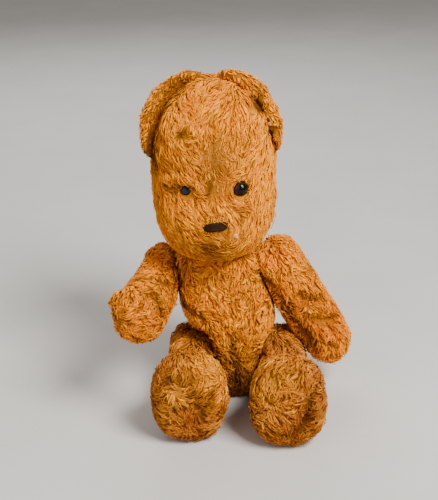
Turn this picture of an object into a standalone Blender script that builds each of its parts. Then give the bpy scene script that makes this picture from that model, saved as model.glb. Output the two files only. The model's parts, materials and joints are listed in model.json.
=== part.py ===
"""An old disc-jointed teddy bear, sitting with one arm hanging and one arm raised.

Metres, +Z up, the bear looks towards -Y and its own left side is +X.
The origin is the middle of the flat that it sits on.

Every stuffed part is a cloth cover round a firm fill. A cover and its fill come from the same solid, built at
two insets. Each of the five joints is a cotter pin through two hardboard discs and two washers, which clamp
the covers of the body and of the limb face to face.
"""

import math

import bmesh
import bpy
import numpy as np
from mathutils import Matrix, Vector
from mathutils.bvhtree import BVHTree

# --- Driving dimensions -------------------------------------------------------------------------------------

CLOTH = 0.0015  # thickness of the covers
SEAT_GAP = 0.0003  # left between pieces that touch
FILL_INSET = CLOTH + SEAT_GAP
SQUARENESS = 2.5  # exponent of the rounded sections

NECK = Vector((-0.016, 0.004, 0.1210))  # middle of the neck's contact face
LEFT_SHOULDER = Vector((0.0180, 0.000, 0.0955))
RIGHT_SHOULDER = Vector((-0.0460, 0.004, 0.0915))
HIP_X, HIP_Z = 0.0168, 0.0262
HIP_Y = {1: -0.012, -1: -0.005}  # the left leg sits a little further forward
LEFT_SHOULDER_TILT = math.radians(22)  # the body's left side leans in towards the neck
RIGHT_SHOULDER_TURN = math.radians(1)  # the right shoulder faces a little backwards
LEFT_ARM_SWING = math.radians(6)  # both from hanging straight down
RIGHT_ARM_SWING = math.radians(86.5)

# Stations of a stuffed part along its spine:
# (distance, middle across, middle in depth, half width, half depth to the front, half depth to the back)
TORSO_STATIONS = (
    (-0.012, 0.000, 0.000, 0.0200, 0.040, 0.038),
    (0.020, 0.000, 0.000, 0.0215, 0.043, 0.042),
    (0.038, -0.001, 0.000, 0.0235, 0.0435, 0.042),
    (0.054, -0.004, 0.000, 0.0300, 0.043, 0.041),
    (0.070, -0.008, 0.001, 0.0360, 0.040, 0.038),
    (0.095, -0.014, 0.002, 0.0345, 0.034, 0.033),
    (0.135, -0.017, 0.004, 0.0300, 0.028, 0.028),
)
HEAD_STATIONS = (
    (-0.012, -0.002, 0.000, 0.0330, 0.046, 0.033),
    (0.010, -0.002, 0.000, 0.0400, 0.055, 0.042),
    (0.030, -0.002, 0.000, 0.0435, 0.057, 0.047),
    (0.055, -0.002, 0.000, 0.0445, 0.050, 0.048),
    (0.082, -0.002, 0.000, 0.0450, 0.048, 0.046),
    (0.105, -0.001, 0.000, 0.0430, 0.044, 0.043),
    (0.1250, 0.000, 0.000, 0.0400, 0.040, 0.039),
)
ARM_STATIONS = {
    1: (
        (-0.0195, 0.0150, 0.000, 0.0180, 0.0195, 0.0195),
        (0.000, 0.0150, 0.000, 0.0180, 0.0195, 0.0195),
        (0.028, 0.0200, 0.000, 0.0182, 0.0205, 0.0200),
        (0.052, 0.0248, 0.001, 0.0176, 0.0205, 0.0195),
        (0.074, 0.0284, 0.003, 0.0168, 0.0210, 0.0200),
        (0.0870, 0.0296, 0.005, 0.0162, 0.0205, 0.0195),
    ),
    -1: (  # the right arm's stuffing has gone to the paw
        (-0.0200, 0.0120, 0.000, 0.0150, 0.0195, 0.0195),
        (0.000, 0.0120, 0.000, 0.0150, 0.0195, 0.0195),
        (0.028, 0.0165, 0.000, 0.0155, 0.0190, 0.0190),
        (0.052, 0.0215, 0.001, 0.0162, 0.0185, 0.0185),
        (0.074, 0.0248, 0.002, 0.0176, 0.0190, 0.0190),
        (0.0870, 0.0252, 0.002, 0.0178, 0.0190, 0.0190),
    ),
}
LEG_STATIONS = (
    (-0.0215, 0.0165, 0.0000, 0.0190, 0.0215, 0.0215),
    (0.000, 0.0165, 0.0000, 0.0190, 0.0215, 0.0215),
    (0.025, 0.0178, -0.0010, 0.0175, 0.0215, 0.0205),
    (0.046, 0.0182, -0.0010, 0.0175, 0.0225, 0.0175),
    (0.062, 0.0182, 0.0020, 0.0200, 0.0265, 0.0220),
    (0.078, 0.0186, 0.0070, 0.0250, 0.0325, 0.0340),
    (0.1005, 0.0190, 0.0080, 0.0260, 0.0335, 0.0345),
)
TORSO_ENDS = (0.050, 0.040)  # lengths over which the two ends of a part round off
HEAD_ENDS = (0.040, 0.050)
ARM_ENDS = (0.0195, 0.018)
LEG_ENDS = (0.0215, 0.016)

# The hollow that a leg turns in: (distance out from its flat wall, radius)
HIP_RECESS = ((0.0, 0.0160), (0.0033, 0.0203), (0.0073, 0.0228), (0.0120, 0.0243), (0.0700, 0.0245))
HIP_RAISE, HIP_BACK = 16, 12  # degrees that it leaves above a sitting leg and behind a standing one
HIP_FACE_AHEAD, HIP_FACE_BEHIND = 0.044, 0.030  # reach of the flat on the leg's inner side
BEYOND = 0.09  # a cutter's reach past all that it cuts

# Disc joints
NECK_DISC, SHOULDER_DISC, HIP_DISC = 0.0135, 0.0110, 0.0120  # radii
PIN_HOLE = 0.0016
DISC_THICKNESS = 0.0025
WASHER_RADIUS, WASHER_THICKNESS = 0.0062, 0.0008
WIRE, WIRE_SPREAD = 0.0006, 0.00065  # a pin's wire radius, and its two legs' distance from the axis
CURL_RADIUS, LOOP_RADIUS = 0.0020, 0.0022  # of its ends in the body, and of its loop in the limb
LOOP_NECK = 0.0024  # from the washer to the loop's middle
FACE_GAP = 0.0002  # from the contact plane to each of the two covers
DISC_FACE = FACE_GAP + CLOTH + SEAT_GAP
WASHER_FACE = DISC_FACE + DISC_THICKNESS + 0.0002
PIN_FACE = WASHER_FACE + WASHER_THICKNESS

# Face
EYE_HALF_WIDTH, EYE_HALF_DEPTH = 0.0056, 0.0040
LEFT_EYE = (0.0180, 0.0555, 0.0008, 0.0062)  # across and up from the neck, depth, radius of its opening
RIGHT_EYE = (-0.0232, 0.0540, 0.0036, 0.0042)  # has sunk into the head
EYE_SHANK_HALF_WIDTH, EYE_SHANK_LENGTH = 0.0012, 0.0040
NOSE_HALF_WIDTH, NOSE_HALF_HEIGHT, NOSE_THICKNESS = 0.0092, 0.0040, 0.0020
NOSE_RAISE, NOSE_TILT = 0.0325, math.radians(5)  # from the neck, and its left end is up
NOSE_SUNK, NOSE_EDGE = 0.0010, 0.0007  # into the muzzle, and how far its rim is rounded

# Ears: (first and last angle from the crown, height of the base line, length of the flap, curl)
OPEN_EAR = (math.radians(8), math.radians(82), 0.80, 0.0160, math.radians(50))
ROLLED_EAR = (math.radians(5), math.radians(73), 0.86, 0.0240, math.radians(195))
EAR_THICKNESS, EAR_RIM = 0.0048, 0.0027  # along the flap and at its rim
EAR_SUNK = 0.0015  # how far inside the head's surface an ear starts, before it is trimmed to it
EAR_BACK = 0.35  # how much an ear leans back as it leaves the head
EAR_FORWARD = 0.026  # how far forward an ear's base line comes on its way down
HEAD_MIDDLE = Vector((-0.018, 0.004, 0.184))  # the ears' base lines turn round this point

# Looks: (colour, roughness, metallic)
HARDBOARD = ((0.30, 0.19, 0.11), 0.85, 0.0)
STEEL = ((0.42, 0.40, 0.38), 0.45, 1.0)
STRAW = ((0.62, 0.50, 0.32), 0.95, 0.0)
MOHAIR = ((0.55, 0.25, 0.07), 0.95, 0.0)
BROWN_MOHAIR = ((0.42, 0.20, 0.07), 0.95, 0.0)
BLACK_GLASS = ((0.02, 0.012, 0.01), 0.08, 0.0)
CLOUDED_GLASS = ((0.16, 0.14, 0.13), 0.5, 0.0)
FELT = ((0.07, 0.035, 0.025), 0.95, 0.0)


# --- Helpers ------------------------------------------------------------------------------------------------


def clear_scene():
    for obj in list(bpy.data.objects):
        bpy.data.objects.remove(obj, do_unlink=True)


def material(name, colour, roughness, metallic):
    mat = bpy.data.materials.new(name)
    mat.use_nodes = True
    shader = mat.node_tree.nodes["Principled BSDF"]
    shader.inputs["Base Color"].default_value = (*colour, 1.0)
    shader.inputs["Roughness"].default_value = roughness
    shader.inputs["Metallic"].default_value = metallic
    return mat


def face_out(bm):
    bmesh.ops.recalc_face_normals(bm, faces=bm.faces)
    if bm.calc_volume(signed=True) < 0:
        bmesh.ops.reverse_faces(bm, faces=bm.faces)


def add(name, bm, look=None):
    """Turns a bmesh into an object; with no look it is a cutter."""
    face_out(bm)
    mesh = bpy.data.meshes.new(name)
    bm.to_mesh(mesh)
    bm.free()
    mesh.shade_smooth()
    mesh.set_sharp_from_angle(angle=math.radians(40))
    obj = bpy.data.objects.new(name, mesh)
    bpy.context.scene.collection.objects.link(obj)
    if look is None:
        obj.hide_render = True
        obj.display_type = "WIRE"
    else:
        mesh.materials.append(material(name, *look))
    return obj


def cut(target, cutter):
    modifier = target.modifiers.new("Cut " + cutter.name, "BOOLEAN")
    modifier.operation = "DIFFERENCE"
    modifier.solver = "EXACT"
    modifier.object = cutter


def frame(origin, axis, along):
    """A matrix with X on the joint's axis, Z along the part and Y across both."""
    x = Vector(axis).normalized()
    z = (Vector(along) - x * Vector(along).dot(x)).normalized()
    y = z.cross(x)
    return Matrix.Translation(origin) @ Matrix((x, y, z)).transposed().to_4x4()


def between(stations, t):
    """The station at distance t, on a smooth curve through the given ones."""
    table = np.array(stations)
    where = table[:, 0]
    slopes = np.gradient(table[:, 1:], where, axis=0)
    i = int(np.clip(np.searchsorted(where, t) - 1, 0, len(where) - 2))
    span = where[i + 1] - where[i]
    s = (t - where[i]) / span
    a, b = table[i, 1:], table[i + 1, 1:]
    blend = s * s * (3 - 2 * s)
    lift = slopes[i] * span * s * (1 - s) ** 2 - slopes[i + 1] * span * s * s * (1 - s)
    return a + (b - a) * blend + lift


def end_scale(t, first, last, ends):
    """How far the section has shrunk at t, near a rounded end."""
    scale = 1.0
    for away, length in ((t - first, ends[0]), (last - t, ends[1])):
        if away < length:
            scale *= max(0.0, 1 - (1 - away / length) ** SQUARENESS) ** (1 / SQUARENESS)
    return scale


def loft(stations, ends, rings, segments):
    """A closed rounded body along Z, in its own frame."""
    first, last = stations[0][0], stations[-1][0]
    bm = bmesh.new()
    loops = []
    for i in range(1, rings):
        t = first + (last - first) * (1 - math.cos(math.pi * i / rings)) / 2
        mid_x, mid_y, half_x, front, back = between(stations, t)
        scale = end_scale(t, first, last, ends)
        loop = []
        for k in range(segments):
            angle = 2 * math.pi * k / segments
            c, s = math.cos(angle), math.sin(angle)
            x = math.copysign(abs(c) ** (2 / SQUARENESS), c)
            y = math.copysign(abs(s) ** (2 / SQUARENESS), s)
            depth = back if s > 0 else front
            loop.append(bm.verts.new((mid_x + half_x * scale * x, mid_y + depth * scale * y, t)))
        loops.append(loop)
    for low, high in zip(loops, loops[1:]):
        for k in range(segments):
            n = (k + 1) % segments
            bm.faces.new((low[k], low[n], high[n], high[k]))
    for t, loop, turned in ((first, loops[0], True), (last, loops[-1], False)):
        mid_x, mid_y = between(stations, t)[:2]
        pole = bm.verts.new((mid_x, mid_y, t))
        for k in range(segments):
            pair = (loop[k], loop[(k + 1) % segments])
            bm.faces.new((pole, *(reversed(pair) if turned else pair)))
    bmesh.ops.triangulate(bm, faces=bm.faces, quad_method="FIXED")
    face_out(bm)
    return bm


def dent(bm, middle, radius, depth, towards):
    """Moves the surface near a point by up to depth, along a direction."""
    push = Vector(towards).normalized() * depth
    for v in bm.verts:
        v.co += push * math.exp(-((v.co - Vector(middle)).length_squared) / radius**2)


def inset(bm, depth):
    """Draws a closed surface in by an even depth."""
    bm.normal_update()
    moves = [(v, v.normal * depth * min(v.calc_shell_factor(), 1.5)) for v in bm.verts]
    for v, move in moves:
        v.co -= move


def slice_off(bm, point, outward):
    """Cuts away what lies beyond a plane and closes the cut with a flat face."""
    everything = bm.verts[:] + bm.edges[:] + bm.faces[:]
    bmesh.ops.bisect_plane(bm, geom=everything, dist=1e-6, plane_co=point, plane_no=outward, clear_outer=True)
    open_edges = [edge for edge in bm.edges if edge.is_boundary]
    bmesh.ops.holes_fill(bm, edges=open_edges, sides=0)


def turned(profile, place, segments, ring=False):
    """A body of revolution round X from (radius, distance) points; a ring's profile closes on itself."""
    bm = bmesh.new()
    loops = []
    for radius, x in profile:
        if radius == 0:
            loops.append([bm.verts.new((x, 0, 0))])
            continue
        turns = [2 * math.pi * k / segments for k in range(segments)]
        loops.append([bm.verts.new((x, radius * math.cos(a), radius * math.sin(a))) for a in turns])
    pairs = list(zip(loops, loops[1:]))
    if ring:
        pairs.append((loops[-1], loops[0]))
    for a, b in pairs:
        for k in range(segments):
            n = (k + 1) % segments
            corners = [a[k % len(a)], a[n % len(a)], b[n % len(b)], b[k % len(b)]]
            bm.faces.new(list(dict.fromkeys(corners)))
    bm.transform(place)
    return bm


def wire(name, points, place, look):
    """A round wire through the points, which lie in the frame's XY plane."""
    curve = bpy.data.curves.new(name, "CURVE")
    curve.dimensions = "3D"
    curve.bevel_depth = WIRE
    curve.bevel_resolution = 1
    curve.use_fill_caps = True
    spline = curve.splines.new("POLY")
    spline.points.add(len(points) - 1)
    for point, (x, y) in zip(spline.points, points):
        point.co = (*(place @ Vector((x, y, 0))), 1)
    obj = bpy.data.objects.new(name, curve)
    bpy.context.scene.collection.objects.link(obj)
    curve.materials.append(material(name, *look))
    return obj


def arc(middle, radius, start, stop, steps):
    """Points on an arc; angles are in degrees from +X."""
    turns = [math.radians(start + (stop - start) * i / steps) for i in range(steps + 1)]
    return [(middle[0] + radius * math.cos(a), middle[1] + radius * math.sin(a)) for a in turns]


def mirrored(side):
    """The left limbs' shape is turned over in depth for the right ones."""
    return Matrix.Diagonal((1, side, 1, 1))


def stuffed(name, solid, look, holes, pockets, carve=None):
    """A cover and its fill, both from one solid; carve takes more off each of its insets."""
    cover = add(name + "_cover", solid(0), look)
    inside = add(name + "_inside", solid(CLOTH))
    fill = add(name + "_stuffing", solid(FILL_INSET), STRAW)
    if carve:
        for obj, depth in ((cover, 0), (inside, CLOTH), (fill, FILL_INSET)):
            for cutter in carve(depth):
                cut(obj, add(obj.name + "_carving", cutter))
    cut(cover, inside)
    for hole in holes:
        cut(cover, hole)
    for pocket in pockets:
        cut(fill, pocket)
    return cover, fill


def hang(name, place, pieces):
    """Parents a moving part's pieces to an empty on its joint, where they are."""
    pivot = bpy.data.objects.new(name, None)
    bpy.context.scene.collection.objects.link(pivot)
    pivot.matrix_world = place
    for piece in pieces:
        piece.parent = pivot
        piece.matrix_parent_inverse = place.inverted()


# --- The stuffed parts --------------------------------------------------------------------------------------


def torso_solid(depth):
    bm = loft(TORSO_STATIONS, TORSO_ENDS, rings=14, segments=22)
    inset(bm, depth)
    slice_off(bm, (0, 0, depth), (0, 0, -1))
    for place in (NECK_FRAME, *SHOULDER_FRAMES.values()):
        outward = place.to_3x3().col[0]
        slice_off(bm, place.translation - outward * (FACE_GAP + depth), outward)
    return bm


def hip_recess(side, depth):
    """The hollow in the body's side that a leg turns in, from its flat wall outwards."""
    up, back = math.radians(HIP_RAISE), math.radians(HIP_BACK)
    bm = bmesh.new()
    rings = []
    for out, radius in HIP_RECESS:
        x = side * (HIP_X - FACE_GAP - depth + out)
        curve = arc((0, 0), radius + depth, 90 - HIP_RAISE, HIP_BACK, 6)
        ahead = (curve[0][0] - BEYOND * math.cos(up), curve[0][1] + BEYOND * math.sin(up))
        below = (curve[-1][0] + BEYOND * math.sin(back), curve[-1][1] - BEYOND * math.cos(back))
        outline = [ahead, *curve, below, (-BEYOND, -BEYOND)]
        rings.append([bm.verts.new((x, HIP_Y[side] + y, HIP_Z + z)) for y, z in outline])
    bm.faces.new(rings[0])
    bm.faces.new(rings[-1])
    for near, far in zip(rings, rings[1:]):
        for k in range(len(near)):
            n = (k + 1) % len(near)
            bm.faces.new((near[k], near[n], far[n], far[k]))
    return bm


def head_solid(depth):
    bm = loft(HEAD_STATIONS, HEAD_ENDS, rings=15, segments=24)
    dent(bm, (-0.002, -0.056, 0.029), 0.021, 0.0050, (0, -1, -0.1))  # muzzle
    for side in (1, -1):
        dent(bm, (side * 0.021 - 0.002, -0.050, 0.054), 0.012, 0.0040, (0, 1, 0))  # eye sockets
        dent(bm, (side * 0.020 - 0.002, -0.046, 0.076), 0.016, 0.0020, (0, -1, 0))  # brows
    inset(bm, depth)
    slice_off(bm, (0, 0, FACE_GAP + depth), (0, 0, -1))
    bm.transform(Matrix.Translation(NECK))
    return bm


def arm_solid(side, depth):
    """Runs from above the shoulder to the paw; its inner side is cut flat at the shoulder."""
    bm = loft(ARM_STATIONS[side], ARM_ENDS, rings=12, segments=16)
    dent(bm, (0.024, 0.020, 0.036), 0.011, 0.0022, (0, -1, 0))  # crease at the elbow
    inset(bm, depth)
    slice_off(bm, (FACE_GAP + depth, 0, 0), (-1, 0, 0))
    bm.transform(SHOULDER_FRAMES[side] @ mirrored(side))
    return bm


def leg_solid(side, depth):
    """Runs towards -Y; its section is cut flat at the hip and under the heel."""
    bm = loft(LEG_STATIONS, LEG_ENDS, rings=13, segments=18)
    dent(bm, (0.018, 0.022, 0.058), 0.010, 0.0030, (0, -1, -0.3))  # fold between shin and foot
    inset(bm, depth)
    bm.transform(HIP_FRAMES[side] @ mirrored(side))
    slice_off(bm, (0, 0, SEAT_GAP + depth), (0, 0, -1))
    return bm


def hip_face(side, depth):
    """Takes the leg's inner side off flat, round the hip only."""
    bm = bmesh.new()
    bmesh.ops.create_cube(bm, size=1)
    length = HIP_FACE_AHEAD + HIP_FACE_BEHIND
    bmesh.ops.scale(bm, vec=(BEYOND, length, BEYOND), verts=bm.verts)
    x = side * (HIP_X + FACE_GAP + depth - BEYOND / 2)
    y = HIP_Y[side] - HIP_FACE_AHEAD + length / 2
    bmesh.ops.translate(bm, vec=(x, y, HIP_Z), verts=bm.verts)
    return bm


# --- The disc joints ----------------------------------------------------------------------------------------


def washer(name, place, start, thickness, radius, segments, look):
    profile = [(PIN_HOLE, start), (radius, start), (radius, start + thickness), (PIN_HOLE, start + thickness)]
    return add(name, turned(profile, place, segments, ring=True), look)


def disc_joint(name, place, radius):
    """The hardware of one joint; minus X is in the body and plus X in the limb."""
    disc_back = -DISC_FACE - DISC_THICKNESS
    washer(name + "_body_disc", place, disc_back, DISC_THICKNESS, radius, 16, HARDBOARD)
    washer(name + "_body_washer", place, -PIN_FACE, WASHER_THICKNESS, WASHER_RADIUS, 12, STEEL)
    disc = washer(name + "_limb_disc", place, DISC_FACE, DISC_THICKNESS, radius, 16, HARDBOARD)
    ring = washer(name + "_limb_washer", place, WASHER_FACE, WASHER_THICKNESS, WASHER_RADIUS, 12, STEEL)
    half = curled_leg()
    opening = math.degrees(math.asin(WIRE_SPREAD / LOOP_RADIUS))
    loop = arc((PIN_FACE + LOOP_NECK, 0), LOOP_RADIUS, 180 - opening, opening - 180, 9)
    points = half + loop + [(x, -y) for x, y in reversed(half)]
    wire(name + "_pin", points, place, STEEL)
    return disc, ring


def curled_leg():
    """One leg of a cotter pin, from the end of its curl to its straight part."""
    curl = (-PIN_FACE - WIRE / 2, WIRE_SPREAD + CURL_RADIUS)
    return arc(curl, CURL_RADIUS, 90, 270, 5)


def pin_hole(name, place):
    reach = 0.006
    profile = [(0, -reach), (PIN_HOLE, -reach), (PIN_HOLE, reach), (0, reach)]
    return add(name + "_pin_hole", turned(profile, place, 12))


def joint_pocket(name, place, radius, side):
    """The room in a fill for a joint's disc, washer and pin; side is -1 in the body, 1 in the limb."""
    spare = SEAT_GAP
    pin_reach, pin_room = (0.0088, 0.0058) if side < 0 else (0.0112, 0.0034)
    profile = [
        (0, 0),
        (radius + spare, 0),
        (radius + spare, WASHER_FACE + spare),
        (WASHER_RADIUS + spare, WASHER_FACE + spare),
        (WASHER_RADIUS + spare, PIN_FACE + spare),
        (pin_room, PIN_FACE + spare),
        (pin_room, pin_reach),
        (0, pin_reach),
    ]
    word = "_body_pocket" if side < 0 else "_limb_pocket"
    return add(name + word, turned([(r, side * x) for r, x in profile], place, 16))


# --- Face and ears ------------------------------------------------------------------------------------------


def eye_frame(surface, x, z):
    """On the head's surface, with X pointing out of it."""
    point, normal, _, _ = surface.ray_cast(Vector((NECK.x + x, -0.2, NECK.z + z)), Vector((0, 1, 0)))
    return frame(point, normal, (0, 0, 1))


def eye_half(start, stop, steps):
    """Points of an eye's half section from its back (start -90) to its front (stop 90)."""
    turns = [math.radians(start + (stop - start) * i / steps) for i in range(steps + 1)]
    return [(EYE_HALF_WIDTH * math.cos(a), EYE_HALF_DEPTH * math.sin(a)) for a in turns]


def eye(name, surface, seat, look):
    """A glass eye, its wire shank, and the cutter of the hole that they sit in."""
    x, z, sunk, opening = seat
    place = eye_frame(surface, x, z) @ Matrix.Translation((-sunk, 0, 0))
    section = eye_half(-90, 90, 8)
    profile = [(0, section[0][1]), *section[1:-1], (0, section[-1][1])]
    ball = add(name, turned(profile, place, 14), look)
    back = -EYE_HALF_DEPTH - SEAT_GAP - WIRE
    leg, drop = EYE_SHANK_HALF_WIDTH, EYE_SHANK_LENGTH
    loop = [(back, leg), *arc((back - drop, 0), leg, 90, 270, 5), (back, -leg)]
    shank = wire(name + "_shank", loop, place, STEEL)
    room = [(r + SEAT_GAP, d + math.copysign(SEAT_GAP, d)) for r, d in section[1:-1]]
    room = [(r, d) for r, d in room if d < 0 or r > opening]
    deep = back - drop - 0.003
    hole = [(0, deep), (0.0030, deep), (0.0030, room[0][1]), *room, (opening, room[-1][1] + 0.0005)]
    room = add(name + "_room", turned([*hole, (opening, 0.012), (0, 0.012)], place, 18))
    return ball, shank, room


def nose(surface):
    """A felt oval that follows the muzzle."""
    steps, rows = 20, (1.0, 0.72, 0.36)
    middle = Vector((NECK.x, 0, NECK.z + NOSE_RAISE))
    tilt = NOSE_TILT
    bm = bmesh.new()

    def corner(share, turn, lift):
        c, s = math.cos(turn), math.sin(turn)
        across = NOSE_HALF_WIDTH * share * math.copysign(abs(c) ** 0.8, c)
        up = NOSE_HALF_HEIGHT * share * (s if s < 0 else 0.8 * s)
        x = middle.x + across * math.cos(tilt) - up * math.sin(tilt)
        z = middle.z + up * math.cos(tilt) + across * math.sin(tilt)
        hit = surface.ray_cast(Vector((x, -0.2, z)), Vector((0, 1, 0)))[0]
        return bm.verts.new(hit + Vector((0, -lift, 0)))

    faces = []
    for lift, round_edge in ((-NOSE_SUNK, 0.0), (NOSE_THICKNESS, NOSE_EDGE)):
        loops = []
        for share in rows:
            drop = round_edge if share == 1.0 else 0.0
            loops.append([corner(share, 2 * math.pi * k / steps, lift - drop) for k in range(steps)])
        loops.append([corner(0, 0, lift)])
        faces.append(loops)
    for loops in faces:
        for a, b in zip(loops, loops[1:]):
            for k in range(steps):
                n = (k + 1) % steps
                bm.faces.new(list(dict.fromkeys((a[k], a[n], b[n % len(b)], b[k % len(b)]))))
    back, front = faces[0][0], faces[1][0]
    for k in range(steps):
        n = (k + 1) % steps
        bm.faces.new((back[k], back[n], front[n], front[k]))
    return add("nose", bm, FELT)


def ear(name, surface, side, shape):
    """A flap sewn along the head's corner; it leaves the head outwards and curls to the front."""
    first, last, height, length, curl = shape
    columns, rows = 13, 6
    bm = bmesh.new()
    sides = []
    for half in (-1, 1):
        grid = []
        for i in range(columns + 1):
            share = i / columns
            turn = first + (last - first) * share
            radial = Vector((side * math.sin(turn), 0, math.cos(turn)))
            full = math.sin(math.pi * (0.06 + 0.88 * share)) ** 0.55
            start = HEAD_MIDDLE + radial * ear_base(turn, height)
            forward = Vector((0, EAR_FORWARD * (math.cos(turn) - 1), 0))
            base, normal = surface.find_nearest(start + forward)[:2]
            out = (radial + Vector((0, EAR_BACK, 0))).normalized()
            column = []
            for j in range(rows + 1):
                along, lift = flap_point(length * full, curl * full, j / rows)
                heading = flap_heading(curl * full, j / rows)
                across = out * heading[1] - Vector((0, -1, 0)) * heading[0]
                point = base - normal * EAR_SUNK + out * along + Vector((0, -1, 0)) * lift
                thick = EAR_THICKNESS if j < rows else EAR_RIM
                column.append(bm.verts.new(point - across * half * thick / 2))
            grid.append(column)
        sides.append(grid)
    for grid in sides:
        for i in range(columns):
            for j in range(rows):
                bm.faces.new((grid[i][j], grid[i + 1][j], grid[i + 1][j + 1], grid[i][j + 1]))
    rim = [(i, rows) for i in range(columns + 1)] + [(columns, j) for j in range(rows - 1, -1, -1)]
    rim += [(i, 0) for i in range(columns - 1, -1, -1)] + [(0, j) for j in range(1, rows)]
    for (i, j), (m, n) in zip(rim, rim[1:] + rim[:1]):
        bm.faces.new((sides[0][i][j], sides[0][m][n], sides[1][m][n], sides[1][i][j]))
    return add(name, bm, MOHAIR)


def ear_base(turn, height):
    """Distance of an ear's base line from the middle of the head."""
    half_width, half_height = 0.0455, 0.0640
    return height / math.hypot(math.sin(turn) / half_width, math.cos(turn) / half_height)


def flap_point(length, curl, share):
    """How far out and how far forward an arc of a given length and total turn has come."""
    radius = length / curl
    return radius * math.sin(curl * share), radius * (1 - math.cos(curl * share))


def flap_heading(curl, share):
    return math.cos(curl * share), math.sin(curl * share)


# --- Assembly -----------------------------------------------------------------------------------------------

clear_scene()

NECK_FRAME = frame(NECK, (0, 0, 1), (0, 1, 0))
SHOULDER_FRAMES = {
    1: frame(
        LEFT_SHOULDER,
        (math.cos(LEFT_SHOULDER_TILT), 0, math.sin(LEFT_SHOULDER_TILT)),
        (0, -math.sin(LEFT_ARM_SWING), -math.cos(LEFT_ARM_SWING)),
    ),
    -1: frame(
        RIGHT_SHOULDER,
        (-math.cos(RIGHT_SHOULDER_TURN), math.sin(RIGHT_SHOULDER_TURN), 0),
        (0, -math.sin(RIGHT_ARM_SWING), -math.cos(RIGHT_ARM_SWING)),
    ),
}
HIP_FRAMES = {side: frame((side * HIP_X, HIP_Y[side], HIP_Z), (side, 0, 0), (0, -1, 0)) for side in (1, -1)}
JOINTS = {
    "neck": (NECK_FRAME, NECK_DISC),
    "left_shoulder": (SHOULDER_FRAMES[1], SHOULDER_DISC),
    "right_shoulder": (SHOULDER_FRAMES[-1], SHOULDER_DISC),
    "left_hip": (HIP_FRAMES[1], HIP_DISC),
    "right_hip": (HIP_FRAMES[-1], HIP_DISC),
}

holes, body_pockets, limb_pockets, limb_hardware = {}, {}, {}, {}
for joint, (place, radius) in JOINTS.items():
    holes[joint] = pin_hole(joint, place)
    body_pockets[joint] = joint_pocket(joint, place, radius, -1)
    limb_pockets[joint] = joint_pocket(joint, place, radius, 1)
    limb_hardware[joint] = disc_joint(joint, place, radius)

stuffed(
    "body",
    torso_solid,
    MOHAIR,
    holes.values(),
    body_pockets.values(),
    carve=lambda depth: [hip_recess(side, depth) for side in (1, -1)],
)

face = BVHTree.FromBMesh(head_solid(0))
left_eye = eye("left_eye", face, LEFT_EYE, BLACK_GLASS)
right_eye = eye("right_eye", face, RIGHT_EYE, CLOUDED_GLASS)
rooms = [left_eye[2], right_eye[2]]
head = stuffed(
    "head", head_solid, MOHAIR, [holes["neck"], *rooms], [limb_pockets["neck"], *rooms]
)
trim = [nose(face), ear("left_ear", face, 1, ROLLED_EAR), ear("right_ear", face, -1, OPEN_EAR)]
head_room = add("head_room", head_solid(-SEAT_GAP))
for piece in trim:
    cut(piece, head_room)
hang("neck_pivot", NECK_FRAME, [*head, *left_eye, *right_eye, *trim, *limb_hardware["neck"]])

for side, word in ((1, "left"), (-1, "right")):
    for limb, joint, solid, place, look, carve in (
        ("arm", "shoulder", arm_solid, SHOULDER_FRAMES[side], MOHAIR, None),
        ("leg", "hip", leg_solid, HIP_FRAMES[side], BROWN_MOHAIR, hip_face),
    ):
        joint = word + "_" + joint
        pieces = stuffed(
            word + "_" + limb,
            lambda depth: solid(side, depth),
            look,
            [holes[joint]],
            [limb_pockets[joint]],
            carve=carve and (lambda depth: [carve(side, depth)]),
        )
        hang(joint + "_pivot", place, [*pieces, *limb_hardware[joint]])
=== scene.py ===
"""Looks for an old disc-jointed teddy bear: worn, matted mohair over a firm stuffing.

Each stuffed part gets a skin, which is the woven backing and follows the CAD cover, and three coats of pile: a
matted ground, locks and single hairs, laid on that skin along a combing direction. The bear looks towards -Y.
Lengths are in metres, except for places and widths in the tables of the parts, which are in millimetres.
"""

import json
import math
from itertools import product

import bmesh
import bpy
import numpy as np
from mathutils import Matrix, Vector, kdtree
from mathutils.bvhtree import BVHTree


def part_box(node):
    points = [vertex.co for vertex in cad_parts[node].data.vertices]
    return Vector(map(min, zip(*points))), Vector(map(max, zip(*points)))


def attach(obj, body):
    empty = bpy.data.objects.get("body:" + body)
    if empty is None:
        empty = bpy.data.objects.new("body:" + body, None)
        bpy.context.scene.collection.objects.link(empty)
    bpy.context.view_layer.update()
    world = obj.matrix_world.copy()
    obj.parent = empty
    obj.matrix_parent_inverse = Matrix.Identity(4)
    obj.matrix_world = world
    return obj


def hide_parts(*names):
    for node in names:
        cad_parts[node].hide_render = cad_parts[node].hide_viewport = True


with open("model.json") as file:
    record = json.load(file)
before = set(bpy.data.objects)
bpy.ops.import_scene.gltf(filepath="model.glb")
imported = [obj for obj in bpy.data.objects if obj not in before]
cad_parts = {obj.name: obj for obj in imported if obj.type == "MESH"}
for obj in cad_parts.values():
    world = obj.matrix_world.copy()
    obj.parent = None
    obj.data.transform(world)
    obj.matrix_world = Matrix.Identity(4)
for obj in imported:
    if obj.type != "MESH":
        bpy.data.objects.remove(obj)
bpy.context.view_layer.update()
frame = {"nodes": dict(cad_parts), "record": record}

MM = 0.001
SQUARE_CM = 0.0001
NODES = frame["nodes"]
JOINTS = {joint["name"]: joint for joint in frame["record"]["behaviour"]["joints"]}
RAY_START = 0.2  # rays are cast at a part from this far off
LEAST_REACH = 0.4  # of a cap's radius; a ray that gets nearer than this to the spine went through a hole
FILLING = 250  # rounds that carry a surface over a hole
EVEN_IN, EVEN_OUT = 0.5, -0.52  # the two halves of a round that takes out facets
EVENING = {"cover": 14, "ear": 12, "nose": 8}  # rounds
SEAM_ROOM = 1.02  # what the grid's UVs are divided by, because they run past 1 at the seam
TINY = 1e-12

# --- Camera, lights and floor ---

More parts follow.
